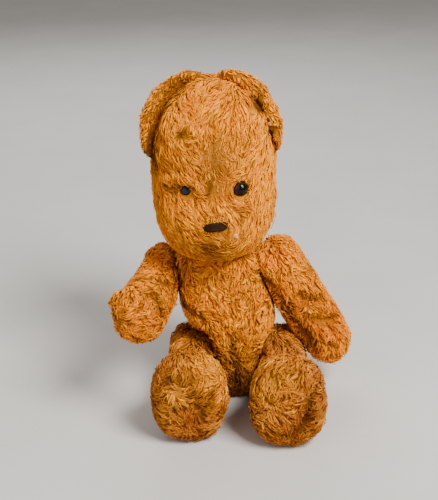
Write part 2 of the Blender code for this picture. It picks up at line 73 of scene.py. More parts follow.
CAMERA_TARGET = Vector((-0.005, -0.030, 0.110))
CAMERA_DISTANCE, CAMERA_HEIGHT = 0.75, math.radians(24)
CAMERA_LENS, CAMERA_SENSOR, CAMERA_SHIFT = 72, 36, (-0.025, 0.035)
FLOOR_SIZE = 12.0
LIGHTS = {  # place, size, power and colour
    "key": ((0.66, -0.72, 1.16), 0.6, 39, (1.0, 0.97, 0.92)),
    "fill": ((-0.7, -1.0, 0.6), 1.0, 5, (1.0, 0.95, 0.88)),
    "back": ((-0.2, 1.0, 0.9), 0.8, 8, (1.0, 0.98, 0.95)),
}
SURROUNDINGS = {"Color": (1.0, 0.94, 0.87, 1), "Strength": 0.26}

# --- Colours, linear ---

GOLD = (0.910, 0.300, 0.001)
ORANGE = (0.760, 0.222, 0.001)
BROWN = (0.340, 0.110, 0.008)
TAN = (0.800, 0.310, 0.040)
# painted highlight: lit tops of the arms and feet, and the shine of the right foot's bald patch
PAINTED_HIGHLIGHT = (1.350, 0.530, 0.015)
RUSSET = (0.430, 0.105, 0.014)
WORN = (0.560, 0.200, 0.035)
LEG_BROWN = (0.375, 0.122, 0.018)
RED = (0.700, 0.105, 0.003)
PALE = (0.980, 0.390, 0.045)
DARK = (0.080, 0.018, 0.002)
# painted light: the lit side of the head, the top of the right upper arm and the right ear's rim
PAINTED_LIGHT = (1.150, 0.420, 0.002)
SEAM = (0.300, 0.095, 0.010)
OLD_THREAD = (0.600, 0.240, 0.040)
WAXED = (0.78, 0.40, 0.12)
DARKEST, DARKEST_CLOTH = 0.001, 0.002
CREVICE_PAINTED_SHADE = np.array((0.56, 0.47, 0.40))  # painted shade: what is left of the colour where another part lies against it
WARM = np.array((1.0, 1.45, 1.2))  # light hair is yellower and dark hair redder

# --- Arrays and noise ---

NOISE_TABLE = 32
NOISES = {  # size, seed and strength of each layer
    "blotch": ((0.014, 5, 0.6), (0.006, 6, 0.4)),
    "drift": ((0.020, 7, 1.0),),
    "stain_and_painted_light": ((0.004, 8, 0.25),),
    "mess": ((0.010, 11, 0.9), (0.005, 12, 0.6)),
    "curl": ((0.008, 13, 1.3),),
    "cover": ((0.022, 21, 0.7), (0.009, 22, 0.4)),
    "ear": ((0.006, 23, 0.7),),
    "nose": ((0.0030, 31, 0.25),),
}


def unit(v):
    return v / np.maximum(np.linalg.norm(v, axis=-1, keepdims=True), TINY)


def smooth(x, low, high):
    """0 up to the first limit, rising to 1 at the second."""
    t = np.clip((x - low) / (high - low), 0, 1)
    return t * t * (3 - 2 * t)


def layer_of_noise(points, size, seed):
    """Smooth noise from -1 to 1, with cells of a given size."""
    table = np.random.default_rng(seed).uniform(-1, 1, (NOISE_TABLE,) * 3)
    q = np.asarray(points) / size + 100.0
    cell = np.floor(q).astype(int)
    f = q - cell
    f = f * f * (3 - 2 * f)
    total = 0.0
    for corner in np.ndindex(2, 2, 2):
        x, y, z = ((cell + corner) % NOISE_TABLE).T
        share = np.where(corner, f, 1 - f)
        total = total + table[x, y, z] * share[:, 0] * share[:, 1] * share[:, 2]
    return total


def noise(points, kind):
    return sum(layer_of_noise(points, size, seed) * strength for size, seed, strength in NOISES[kind])


def near(points, place, radius):
    """1 at a place given in millimetres, which is a point or a path, falling to 0 over the radius."""
    path = np.array(place, float).reshape(-1, 3) * MM
    gap = np.linalg.norm(points - path[0], axis=1)
    for a, b in zip(path[:-1], path[1:]):
        run = b - a
        share = np.clip((points - a) @ run / (run @ run), 0, 1)
        gap = np.minimum(gap, np.linalg.norm(points - a - share[:, None] * run, axis=1))
    return np.exp(-((gap / (radius * MM)) ** 2))


def from_joint(points, name):
    """How far points are along a joint's axis and away from it, and the axis."""
    axis = unit(np.array(JOINTS[name]["axis"], float))
    gap = points - np.array(JOINTS[name]["pos_m"])
    along = gap @ axis
    return along, np.linalg.norm(gap - along[:, None] * axis, axis=1), axis


# --- Meshes ---


def placed(name, data):
    """A new object in the scene."""
    obj = bpy.data.objects.new(name, data)
    bpy.context.scene.collection.objects.link(obj)
    return obj


def mesh_object(name, verts, tris, mat, body):
    mesh = bpy.data.meshes.new(name)
    mesh.vertices.add(len(verts))
    mesh.vertices.foreach_set("co", np.asarray(verts, float).ravel())
    mesh.loops.add(tris.size)
    mesh.loops.foreach_set("vertex_index", tris.ravel())
    mesh.polygons.add(len(tris))
    mesh.polygons.foreach_set("loop_start", np.arange(0, tris.size, 3))
    mesh.update(calc_edges=True)
    mesh.shade_smooth()
    mesh.materials.append(mat)
    obj = placed(name, mesh)
    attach(obj, body)
    return obj


def set_tint(mesh, colours):
    """A colour for each point; one brighter than 1 is scaled down."""
    rgba = np.ones((len(colours), 4))
    rgba[:, : colours.shape[1]] = colours
    rgba[:, :3] /= np.maximum(rgba[:, :3].max(axis=1, keepdims=True), 1)
    mesh.color_attributes.new("tint", "FLOAT_COLOR", "POINT").data.foreach_set("color", rgba.ravel())


def set_uv(mesh, name, coords):
    mesh.uv_layers.new(name=name).data.foreach_set("uv", np.asarray(coords, float).ravel())


class Skin:
    """A closed triangulated surface."""

    def __init__(self, verts, tris):
        self.verts, self.tris = np.array(verts, float), np.array(tris, int)
        pairs = np.vstack([self.tris[:, ends] for ends in ([0, 1], [1, 2], [2, 0])])
        self.pairs = np.unique(np.sort(pairs, axis=1), axis=0)
        self.degree = np.bincount(self.pairs.ravel(), minlength=len(self.verts))[:, None]

    def average(self):
        """The mean of each point's neighbours."""
        a, b = self.pairs.T
        total = [np.bincount(a, p[b], len(p)) + np.bincount(b, p[a], len(p)) for p in self.verts.T]
        return np.array(total).T / self.degree

    def relax(self, weight, times):
        weight = np.asarray(weight, float).reshape(-1, 1)
        for _ in range(times):
            self.verts += (self.average() - self.verts) * weight

    def even(self, weight, times):
        """Takes out facets without drawing the surface in."""
        for _ in range(times):
            self.relax(weight * EVEN_IN, 1)
            self.relax(weight * EVEN_OUT, 1)

    def face_normals(self):
        """Normals of twice each triangle's area."""
        a, b, c = (self.verts[corner] for corner in self.tris.T)
        return np.cross(b - a, c - a)

    def normals(self):
        face, total = self.face_normals(), np.zeros(self.verts.shape)
        for corner, axis in product(self.tris.T, range(3)):
            total[:, axis] += np.bincount(corner, face[:, axis], len(total))
        return unit(total)

    def push(self, depth):
        self.verts += self.normals() * np.asarray(depth, float).reshape(-1, 1)

    def tree(self):
        return BVHTree.FromPolygons(self.verts.tolist(), self.tris.tolist())


def cad_tree(node):
    mesh = NODES[node].data
    return BVHTree.FromPolygons([v.co for v in mesh.vertices], [tuple(p.vertices) for p in mesh.polygons])


def middle_of(node):
    low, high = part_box(node)
    return np.array([(a + b) / 2 for a, b in zip(low, high)])


def from_front(tree, x, z):
    """The first place that a ray from in front of the bear meets."""
    return tree.ray_cast(Vector((x, -RAY_START, z)), Vector((0, 1, 0)))[0]


def onto(tree, points):
    """The nearest surface points and their normals."""
    hits = [tree.find_nearest(p) for p in points.tolist()]
    return np.array([h[0] for h in hits]), np.array([h[1] for h in hits])


def ball_tris(rings, segments):
    """Triangles over a pole, rings of points and another pole, which are numbered in that order."""
    last = (rings - 1) * segments + 1
    tris = []
    for i, k in product(range(rings - 2), range(segments)):
        a, b = 1 + i * segments + k, 1 + i * segments + (k + 1) % segments
        tris += [(a, b, b + segments), (a, b + segments, a + segments)]
    for k in range(segments):
        n = (k + 1) % segments
        tris += [(0, 1 + n, 1 + k), (last, last - segments + k, last - segments + n)]
    return np.array(tris)


def cast_skin(node, start, end, cap, rings, segments, across):
    """A grid on the outside of a CAD cover, seen by rays from all round a spine, with its UVs.

    A ray that goes through a hole in the cover is lost, and its point is filled in afterwards.
    """
    tree = cad_tree(node)
    start, end = np.array(start), np.array(end)
    length = np.linalg.norm(end - start)
    axis = (end - start) / length
    across = unit(np.array(across) - axis * np.dot(across, axis))
    third = np.cross(axis, across)
    quarter = cap * math.pi / 2
    total = length + 2 * quarter
    verts, uvs, lost = [], [], []

    def hit(origin, direction):
        point = tree.ray_cast(Vector(origin + direction * RAY_START), Vector(-direction))[0]
        reach = (np.array(point) - origin) @ direction if point is not None else 0
        lost.append(reach < cap * LEAST_REACH)
        verts.append(origin + direction * (cap if lost[-1] else reach))

    for i in range(rings + 1):
        s = total * i / rings
        along = min(max(s - quarter, 0.0), length)
        tilt = (s - quarter - along) / cap
        origin = start + axis * along
        if i in (0, rings):
            hit(origin, axis * math.copysign(1, tilt))
            uvs.append((0.5, i / rings))
            continue
        for k in range(segments):
            turn = 2 * math.pi * k / segments
            radial = across * math.cos(turn) + third * math.sin(turn)
            hit(origin, radial * math.cos(tilt) + axis * math.sin(tilt))
            uvs.append((k / segments, i / rings))
    skin = Skin(verts, ball_tris(rings, segments))
    skin.relax(lost, FILLING)
    skin.uv = np.array(uvs)
    return skin


def corner_uvs(skin):
    """The grid's UVs at each triangle's corners, with the seam taken apart."""
    uv = skin.uv[skin.tris].copy()
    u = uv[:, :, 0]
    wraps = (u.max(axis=1) - u.min(axis=1)) > 0.5
    u[wraps] = np.where(u[wraps] < 0.25, u[wraps] + 1, u[wraps])
    pole = (uv[:, :, 1] == 0) | (uv[:, :, 1] == 1)
    for j in range(3):
        others = [m for m in range(3) if m != j]
        u[pole[:, j], j] = u[pole[:, j]][:, others].mean(axis=1)
    uv[:, :, 0] = u / SEAM_ROOM
    return uv.reshape(-1, 2)


def remeshed(node, size):
    """A CAD solid as a fine even mesh."""
    copy = placed("remesh_work", NODES[node].data.copy())
    remesh = copy.modifiers.new("Remesh", "REMESH")
    remesh.mode, remesh.voxel_size = "VOXEL", size
    bm = bmesh.new()
    bm.from_mesh(copy.evaluated_get(bpy.context.evaluated_depsgraph_get()).to_mesh())
    bmesh.ops.triangulate(bm, faces=bm.faces)
    skin = Skin([v.co[:] for v in bm.verts], [[v.index for v in f.verts] for f in bm.faces])
    bm.free()
    bpy.data.objects.remove(copy, do_unlink=True)
    return skin


# --- Materials ---


class Nodes:
    """A short way to build one material's node tree."""

    def __init__(self, name):
        self.mat = bpy.data.materials.new(name)
        self.mat.use_nodes = True
        self.tree = self.mat.node_tree
        self.shader = self.tree.nodes["Principled BSDF"]

    def feed(self, socket, value):
        """Links a socket to an output, or sets its value."""
        if isinstance(value, bpy.types.NodeSocket):
            self.tree.links.new(value, socket)
        else:
            socket.default_value = (*value[:3], 1) if socket.type == "RGBA" else value

    def add(self, kind, inputs, **settings):
        node = self.tree.nodes.new("ShaderNode" + kind)
        for key, value in settings.items():
            setattr(node, key, value)
        for key, value in inputs.items():
            self.feed(node.inputs[key], value)
        return node

    def place(self):
        return self.add("TexCoord", {}).outputs["Object"]

    def tint(self):
        return self.add("Attribute", {}, attribute_name="tint").outputs

    def noise(self, vector, scale, detail=2.0, rough=0.5):
        inputs = {"Vector": vector, "Scale": scale, "Detail": detail, "Roughness": rough}
        return self.add("TexNoise", inputs).outputs["Fac"]

    def spread(self, value, low, high):
        return self.add("MapRange", {"Value": value, 3: low, 4: high}).outputs[0]

    def math(self, operation, a, b):
        return self.add("Math", {0: a, 1: b}, operation=operation).outputs[0]

    def ramp(self, value, *stops):
        """Stops are a place and a grey or a colour."""
        node = self.add("ValToRGB", {"Fac": value})
        ramp = node.color_ramp
        while len(ramp.elements) < len(stops):
            ramp.elements.new(0.5)
        for element, (place, colour) in zip(ramp.elements, stops):
            element.position = place
            element.color = (*(colour if isinstance(colour, tuple) else (colour,) * 3), 1)
        return node.outputs["Color"]

    def mix(self, factor, a, b):
        """Two colours, multiplied by a given share."""
        inputs = {"Factor": factor, 6: a, 7: b}
        return self.add("Mix", inputs, data_type="RGBA", blend_type="MULTIPLY").outputs[2]

    def bump(self, height, strength, distance, below=None):
        inputs = {"Height": height, "Strength": strength, "Distance": distance}
        if below is not None:
            inputs["Normal"] = below
        return self.add("Bump", inputs).outputs["Normal"]

    def set(self, colour, **sockets):
        self.feed(self.shader.inputs["Base Color"], colour)
        for key, value in sockets.items():
            self.feed(self.shader.inputs[key.replace("_", " ")], value)
        return self.mat


def pile_material():
    """Bundles of fine lustrous hair: streaks run along each lock."""
    n = Nodes("mohair_pile")
    streak = n.noise(n.add("UVMap", {}, uv_map="strand").outputs["UV"], 1.0, 2.0, 0.55)
    colour = n.mix(1.0, n.tint()["Color"], n.ramp(streak, (0.28, 0.55), (0.50, 0.97), (0.72, 1.45)))
    return n.set(colour, Normal=n.bump(streak, 0.6, 0.0003), Roughness=0.55, Specular_IOR_Level=0.18,
                 Specular_Tint=(1.0, 0.45, 0.10), Sheen_Weight=0.05, Sheen_Roughness=0.4,
                 Sheen_Tint=(1.0, 0.50, 0.12))


def skin_material():
    """Woven backing with stubble left in it."""
    n = Nodes("mohair_backing")
    place = n.place()
    stubble = n.noise(place, 1100.0, 3.0, 0.65)
    patches = n.noise(place, 120.0, 3.0)
    threads = {"Vector": place, "Scale": 330.0, "Distortion": 1.5, "Detail": 1.0}
    weave = [n.add("TexWave", threads, wave_type="BANDS", bands_direction=way).outputs["Fac"] for way in "XZ"]
    cloth = n.math("MAXIMUM", *weave)
    colour = n.mix(1.0, n.tint()["Color"], n.ramp(stubble, (0.30, 0.35), (0.52, 0.85), (0.72, 1.30)))
    colour = n.mix(0.35, colour, n.ramp(cloth, (0.2, 0.55), (0.8, 1.15)))
    colour = n.mix(0.5, colour, n.ramp(patches, (0.35, 0.65), (0.65, 1.15)))
    normal = n.bump(stubble, 0.7, 0.0006, n.bump(cloth, 0.5, 0.0002))
    return n.set(colour, Normal=normal, Roughness=0.9, Specular_IOR_Level=0.1, Sheen_Weight=0.1,
                 Sheen_Roughness=0.5, Sheen_Tint=(1.0, 0.5, 0.15))


def glass_material():
    """The tint gives the colour, and its alpha the shine."""
    n = Nodes("eye_glass")
    tint = n.tint()
    rough = n.spread(n.noise(n.place(), 500.0, 4.0, 0.6), 0.03, 0.10)
    return n.set(tint["Color"], Roughness=rough, Specular_IOR_Level=n.math("MULTIPLY", tint["Alpha"], 0.16))


def thread_material():
    n = Nodes("thread")
    fibre = n.noise(n.place(), 1500.0, 2.0)
    colour = n.mix(0.6, n.tint()["Color"], n.ramp(fibre, (0.3, 0.6), (0.7, 1.2)))
    return n.set(colour, Normal=n.bump(fibre, 0.6, 0.0002), Roughness=0.85)


def grained(name, grain, dark, light, bump, rough, stretch=1.0, **sockets):
    """Noise between two colours, each with its place on the ramp; a pair of roughnesses follows it too."""
    n = Nodes(name)
    place = n.place()
    if stretch != 1.0:
        place = n.add("Mapping", {"Vector": place, "Scale": (1.0, 1.0, stretch)}).outputs["Vector"]
    grain = n.noise(place, *grain)
    if bump:
        sockets["Normal"] = n.bump(grain, *bump)
    rough = n.spread(grain, *rough) if isinstance(rough, tuple) else rough
    return n.set(n.ramp(grain, dark, light), Roughness=rough, **sockets)


PILE, SKIN, GLASS, THREAD = pile_material(), skin_material(), glass_material(), thread_material()
FELT = grained("nose_felt", (900.0, 4.0, 0.7), (0.3, (0.008, 0.004, 0.002)), (0.7, (0.040, 0.018, 0.008)),
               (1.0, 0.0005), 0.95, Specular_IOR_Level=0.1)
INNER = {
    "stuffing": grained("wood_wool", (260.0, 5.0, 0.7), (0.3, (0.28, 0.19, 0.09)), (0.6, (0.66, 0.52, 0.31)),
                        (0.8, 0.0008), 0.9, stretch=4.0),
    "disc": grained("hardboard", (700.0, 4.0, 0.6), (0.3, (0.20, 0.12, 0.065)), (0.7, (0.34, 0.22, 0.13)),
                    (0.4, 0.0002), 0.85),
    "steel": grained("old_steel", (420.0, 4.0, 0.6), (0.35, (0.24, 0.17, 0.12)), (0.65, (0.46, 0.45, 0.43)),
                     (0.2, 0.0001), (0.65, 0.32), Metallic=1.0),
}
FLOOR = grained("floor", (9.0, 3.0), (0.3, (0.58, 0.57, 0.56)), (0.7, (0.62, 0.61, 0.60)), None, 0.8)

# --- Combing ---

# Directions on the front of a part: (x, z, degrees from +X towards up, as seen from the front)
HEAD_COMB = (
    (-53, 226, -55), (-40, 233, -50), (-55, 216, -62), (-53, 195, -56), (-51, 180, -44), (-52, 170, -58),
    (-46, 163, -48), (-46, 148, -52), (-36, 133, -38), (-26, 243, -112), (-17, 240, -118), (-7, 245, -128),
    (2, 232, -100), (7, 215, -115), (21, 197, -108), (17, 169, -100), (13, 157, -120), (2, 165, -32),
    (-28, 161, -45), (-17, 145, -30), (-17, 195, -90), (-31, 188, -48), (-2, 190, -105), (0, 145, -140),
)
BODY_COMB = (
    (-37, 90, -62), (-17, 104, -75), (13, 96, -112), (-30, 60, -56), (-6, 70, -70), (18, 67, -125),
    (-2, 38, -90), (-18, 45, -60), (17, 45, -128),
)
FRONT_UP = np.array((0.0, math.sin(CAMERA_HEIGHT), math.cos(CAMERA_HEIGHT)))
FRONT_FACING = (0.0, 0.35)  # from here to here the directions of the front take over
COMB_SOFTNESS = 25  # square millimetres added to each gap, so that no direction rules alone


def front_comb(points, rows):
    """Blends the nearest given directions."""
    rows = np.array(rows, float)
    gap = points[:, None, [0, 2]] / MM - rows[None, :, :2]
    weight = 1 / (np.sum(gap * gap, axis=2) + COMB_SOFTNESS) ** 2
    turn = np.radians(rows[:, 2])
    return unit(weight @ (np.outer(np.cos(turn), (1, 0, 0)) + np.outer(np.sin(turn), FRONT_UP)))


def tangent(ways, normals):
    return unit(ways - normals * np.sum(ways * normals, axis=1, keepdims=True))


def turned(ways, normals, angles):
    """Turns each tangent about its normal."""
    c, s = np.cos(angles)[:, None], np.sin(angles)[:, None]
    return ways * c + np.cross(normals, ways) * s


def combed(points, normals, part):
    """The direction in which the pile lies, as tangents."""
    way = np.tile(np.array(part["along"], float), (len(points), 1))
    if "comb" in part:
        front = smooth(-normals[:, 1], *FRONT_FACING)[:, None]
        way = way * (1 - front) + front_comb(points, part["comb"]) * front
    for middle, radius, pull in part.get("whorls", ()):
        gap = points - np.array(middle) * MM
        weight = np.exp(-np.sum(gap * gap, axis=1) / (radius * MM) ** 2)[:, None]
        spin = unit(np.cross(normals, gap)) + unit(gap) * pull
        way = way * (1 - weight) + spin * weight
    return tangent(way, normals)


# --- Colour, painted light and shade, and wear of the parts ---

BLOTCH = 0.42  # strength of the blotches, unless a part has its own
DRIFT = (-0.2, 0.9)  # noise at which the other colour starts and is at its full share
STAIN_AND_SHADE_DEPTH = 0.75  # the mean strength of a stain and of painted light and shade, which noise mottles
LOCKS_LEFT, LENGTH_LEFT = 2, 3  # columns of "wear"


def coloured(points, normals, part):
    """The pile's colour: a ground, blotches, a drift to another colour, and stains and painted light at given
    places.
    """
    blotch = noise(points, "blotch")[:, None] * part.get("blotch", BLOTCH)
    colour = np.array(part["ground"])[None, :] * np.exp(blotch)
    drift = smooth(noise(points, "drift"), *DRIFT)[:, None] * part["drift"]
    colour = colour * (1 - drift) + np.array(part.get("other", BROWN)) * drift
    mottle = STAIN_AND_SHADE_DEPTH + noise(points, "stain_and_painted_light")
    for middle, radius, stain_and_painted_light, share in part["stains_and_painted_light"]:
        weight = (near(points, middle, radius) * share * mottle)[:, None]
        colour = colour * (1 - weight) + np.array(stain_and_painted_light) * weight
    return np.maximum(colour, DARKEST_CLOTH)


def worn(points, part, column):
    """How much of the locks or of their length is left, from 1 down to 0."""
    left = np.ones(len(points))
    for row in part["wear"]:
        left *= 1 - near(points, row[0], row[1]) * row[column]
    return left


# --- Pile ---

LOCK_SIDES = 3
TUFTS = 5.0  # places to a square centimetre that the hair round them is drawn to
# Coats from the matted ground up. density is locks to a square centimetre; the factors act on the part's own
# figures; flat is a lock's thickness over its width; taper is its width at each ring, before its point; ramp is
# its brightness at each ring and its tip, with painted shade at the roots and lighter hair at the tips; pull is
# how far its tip is drawn to the middle of a tuft.
COATS = {
    "mat": {
        "density": 7.5, "shed": 2.0, "steps": 3, "width": (2.8, 4.4), "flat": 0.24, "length": 1.15,
        "height": 0.55, "mess": 0.8, "curl": 0.8, "tone": 0.95, "taper": (0.45, 1.0, 0.80),
        "ramp": (0.74, 0.92, 1.02, 1.08), "pull": 0.25,
    },
    "locks": {
        "density": 10.5, "shed": 0.7, "steps": 4, "width": (1.1, 2.1), "flat": 0.40, "length": 1.0,
        "height": 1.0, "mess": 1.0, "curl": 1.0, "tone": 1.0, "taper": (0.50, 1.0, 0.85, 0.50),
        "ramp": (0.70, 0.88, 1.00, 1.09, 1.15), "pull": 0.55,
    },
    "hairs": {
        "density": 17, "shed": 0.4, "steps": 3, "width": (0.35, 0.75), "flat": 0.8, "length": 1.0,
        "height": 1.25, "mess": 1.0, "curl": 1.5, "tone": 1.18, "taper": (0.9, 1.0, 0.8),
        "ramp": (0.70, 0.95, 1.12, 1.25), "pull": 0.65,
    },
}
CREVICE = (0.0005, 0.0080)  # gaps to another part that leave the pile quite shut in, and free
FLAT_DEPTH, FLAT_FACING = 0.004, 0.8  # what counts as the flat of a joint
SEAT_HEIGHT, SEAT_FACING = 0.002, 0.9  # what the bear sits on
RAY_HEIGHT = 0.0003  # of the rays' starts above the skin
HEADROOM, ROOM_USED, LOCK_ROOM, LEAST_SQUEEZE = 0.008, 0.42, 0.0004, 0.12
CREVICE_LENGTH, OPEN_LENGTH = 0.55, 0.45  # of the pile's length, shut in and added in the open
OVAL_DEPTH = 0.02  # a clear oval acts on what lies up to this far behind its middle
LEAST_LENGTH, LEAST_AIM = 0.0015, 0.15  # of a lock that runs towards a clear oval
WORN_MESS = 1.8  # how much more the locks are turned where the pile is worn
CURL_START, CURL_GROWTH = 0.4, 1.2  # a lock curls more towards its tip
STANDING = {"length": 0.4, "lift": 0.0020, "layer": 0.0008}  # what a "stand" of 1 adds
CROWN_REACH, CROWN_HEIGHT = 0.0022, 0.0005  # hair rises at the middle of a tuft
SPREAD = {"turn": 0.15, "curl": 0.4, "tone": 0.10, "hue": 0.12}  # from lock to lock
TUFT_SPREAD = {"turn": 0.3, "curl": 0.5, "tone": 0.17}  # from tuft to tuft
TUFT_SEED, PULL_POWER = 500, 1.4
STRAYS, STRAY_HEIGHT = 0.05, 1.1
RISE = 2.2  # a lock is at its full height after 1 / RISE of its length
ARCH_END, ARCH_POWER, CROWN_END = 0.92, 0.8, 0.8
RAGGED, LEAST_OFF = (0.88, 1.06), 0.05  # the rim of a clear oval, and a bound on how far hair is pushed out
ROOT_DEPTH = 0.0002
ABOVE_FLOOR, ABOVE_FLOOR_SPREAD = 0.0004, 0.0008
HUES = ((0.80, 1.0, PALE, 0.30), (0.22, 0.0, RED, 0.13))  # which of the hues from 0 to 1 go towards a colour
HUE_STRENGTH = 2.6
STREAKS = (5.133929, 0.22)  # to a millimetre, across a lock and along it
STREAK_STARTS, STREAK_SLANT = 60, 0.37
CELL_STRETCH, CELL_SIZE, CELL_EDGE = 4, (0.92, 0.96), (0.04, 0.02)  # of a lock's place in the OFBake UV map


def grows(points, normals, part):
    """0 on the flats that a joint clamps together and on what the bear sits on, 1 elsewhere."""
    left = np.ones(len(points))
    for name, reach in part.get("joints", ()):
        along, off, axis = from_joint(points, name)
        left[(np.abs(along) < FLAT_DEPTH) & (off < reach) & (np.abs(normals @ axis) > FLAT_FACING)] = 0
    left[(normals[:, 2] < -SEAT_FACING) & (points[:, 2] < SEAT_HEIGHT)] = 0
    return left


def scatter(skin, part, density, shed, rng):
    """Roots spread over a skin by area and by what the wear has left, with their normals and number."""
    face = skin.face_normals()
    area = np.linalg.norm(face, axis=1) / 2
    middle = skin.verts[skin.tris].mean(axis=1)
    weight = area * worn(middle, part, LOCKS_LEFT) ** shed * grows(middle, unit(face), part)
    for place, wide, tall in part.get("clear", ()):
        off = np.hypot((middle[:, 0] - place[0]) / wide, (middle[:, 2] - place[2]) / tall) / MM
        weight[(middle[:, 1] < place[1] + OVAL_DEPTH) & (off < 1)] = 0
    steps = np.cumsum(weight)
    count = int(steps[-1] / SQUARE_CM * density)
    pick = (np.arange(count) + rng.uniform(0, 1, count)) / count * steps[-1]
    index = np.minimum(np.searchsorted(steps, pick), len(steps) - 1)
    a, b = rng.uniform(0, 1, (2, count))
    over = a + b > 1
    a[over], b[over] = 1 - a[over], 1 - b[over]
    shares = np.stack((1 - a - b, a, b), axis=1)[:, :, None]
    roots, normals = ((rows[skin.tris[index]] * shares).sum(axis=1) for rows in (skin.verts, skin.normals()))
    return roots, unit(normals), count


def least(rooms, gaps):
    """The smaller of each room and gap; there may be no gap."""
    return np.minimum(rooms, [room if gap is None else gap for room, gap in zip(rooms, gaps)])


def openness(others, points, part):
    """0 against another part, 1 in the open; the part that this one lies flat against doesn't count."""
    room = np.full(len(points), CREVICE[1])
    for key, tree in others.items():
        if key != part.get("hugs"):
            room = least(room, [tree.find_nearest(p, CREVICE[1])[3] for p in points.tolist()])
    return smooth(room, *CREVICE)


def headroom(others, points, normals):
    """Room above the skin before another part is met."""
    starts = (points + normals * RAY_HEIGHT).tolist()
    room = np.full(len(points), HEADROOM)
    for tree in others.values():
        room = least(room, [tree.ray_cast(p, n, HEADROOM)[3] for p, n in zip(starts, normals.tolist())])
    return room


def room_ahead(roots, way, place, wide, tall):
    """How long a lock may be before its tip gets to a clear oval."""
    gap = (place - roots)[:, [0, 2]]
    far = np.linalg.norm(gap, axis=1)
    toward = gap / far[:, None]
    edge = MM / np.hypot(toward[:, 0] / wide, toward[:, 1] / tall)
    aim = np.sum(toward * way[:, [0, 2]], axis=1)
    ahead = (roots[:, 1] < place[1] + OVAL_DEPTH) & (aim > LEAST_AIM)
    return np.where(ahead, np.maximum((far - edge) / np.maximum(aim, LEAST_AIM), LEAST_LENGTH), 1.0)


def comb_way(roots, normals, part, coat, stray):
    """The direction of each lock where it leaves the skin; stray is its own random turn."""
    mess = noise(roots, "mess") + stray
    mess *= 1 + WORN_MESS * (1 - worn(roots, part, LENGTH_LEFT))
    return turned(combed(roots, normals, part), normals, mess * part["mess"] * coat["mess"])


def curls(roots, part, spread):
    return (spread + noise(roots, "curl")) * part["curl"]


def trace(tree, roots, normals, way, length, curl, steps):
    """Walks over the skin from each root; returns the points and their normals."""
    here, share = roots, 1 / steps
    points, ups = [roots], [normals]
    for j in range(1, steps + 1):
        way = turned(way, ups[-1], curl * share * (CURL_START + CURL_GROWTH * j * share))
        here, up = onto(tree, here + way * (length * share)[:, None])
        way = tangent(way, up)
        points.append(here)
        ups.append(up)
    return np.stack(points, axis=1), np.stack(ups, axis=1)


def make_tufts(skin, part):
    """Roots of the tufts, with a curl, a tone, a hue and a turn of their own."""
    rng = np.random.default_rng(TUFT_SEED)
    roots, normals, count = scatter(skin, {**part, "wear": ()}, TUFTS, 1.0, rng)
    tree = kdtree.KDTree(count)
    for i, p in enumerate(roots.tolist()):
        tree.insert(p, i)
    tree.balance()
    return {
        "tree": tree, "roots": roots, "normals": normals,
        "curl": curls(roots, part, rng.normal(0, TUFT_SPREAD["curl"], count)),
        "tone": np.exp(rng.normal(0, TUFT_SPREAD["tone"], count)), "hue": rng.uniform(0, 1, count),
        "stray": rng.normal(0, TUFT_SPREAD["turn"], count),
    }


def lock_sizes(roots, part, coat, short, rng):
    """Each lock's length and width, how far it arches, and how high it lies on the others.

    bald is what is left of each of them where the pile is worn right down.
    """
    length, width, lift, layer = (
        rng.uniform(*limits, len(roots)) * scale * MM * (bald + (1 - bald) * short)
        for limits, scale, bald in (
            (part["length"], coat["length"], 0.22), (coat["width"], part.get("broad", 1.0), 0.3),
            (part["lift"], coat["height"], 0.3), ((0.1, 1), part["depth"] * coat["height"], 0.25),
        )
    )
    for place, radius, share in part.get("stand", ()):
        out = near(roots, place, radius) * share
        length = length * (1 + STANDING["length"] * out)
        lift, layer = lift + STANDING["lift"] * out, layer + STANDING["layer"] * out
    return length, width, lift, layer


def raised(surface, up, layer, lift, crown, stray):
    """Lock paths that leave the skin, arch over it and lie down on it again; a stray one ends off it."""
    t = np.linspace(0, 1, surface.shape[1])
    height = np.outer(layer, np.minimum(1.0, RISE * t))
    height += np.outer(lift, np.sin(np.pi * np.minimum(t * ARCH_END, 1)) ** ARCH_POWER)
    height += np.outer(crown, np.sin(np.pi * np.minimum(t * CROWN_END, 1)))
    height += np.outer(stray, t)
    height[:, 0] = -ROOT_DEPTH
    return surface + up * height[:, :, None]


def open_ovals(path, ovals, ragged):
    """Pushes what lies over a clear oval out to its ragged rim."""
    for middle, wide, tall in ovals:
        scale = ragged**-1 * np.array((1 / wide, 1 / tall)) / MM
        gap = (path[:, :, [0, 2]] - middle[[0, 2]]) * scale
        off = np.linalg.norm(gap, axis=2)
        over = (path[:, :, 1] < middle[1] + OVAL_DEPTH) & (off < 1)
        push = np.where(over, 1 / np.maximum(off, LEAST_OFF), 1.0)[:, :, None]
        path[:, :, [0, 2]] = middle[[0, 2]] + gap * push / scale


def lock_verts(path, up, width, coat):
    """Points round each lock's path, ring by ring, and then its tip."""
    steps = coat["steps"]
    run = unit(np.gradient(path, axis=1))
    side = unit(np.cross(run, up))
    top = np.cross(side, run)
    wide = (width[:, None] * np.array(coat["taper"]))[:, :, None] * 0.5
    rings = []
    for k in range(LOCK_SIDES):
        turn = math.pi / 2 + 2 * math.pi * k / LOCK_SIDES
        offset = side[:, :steps] * math.cos(turn) + top[:, :steps] * math.sin(turn) * coat["flat"]
        rings.append(path[:, :steps] + offset * wide)
    rings = np.stack(rings, axis=2).reshape(len(path), -1, 3)
    return np.concatenate((rings, path[:, steps:]), axis=1)


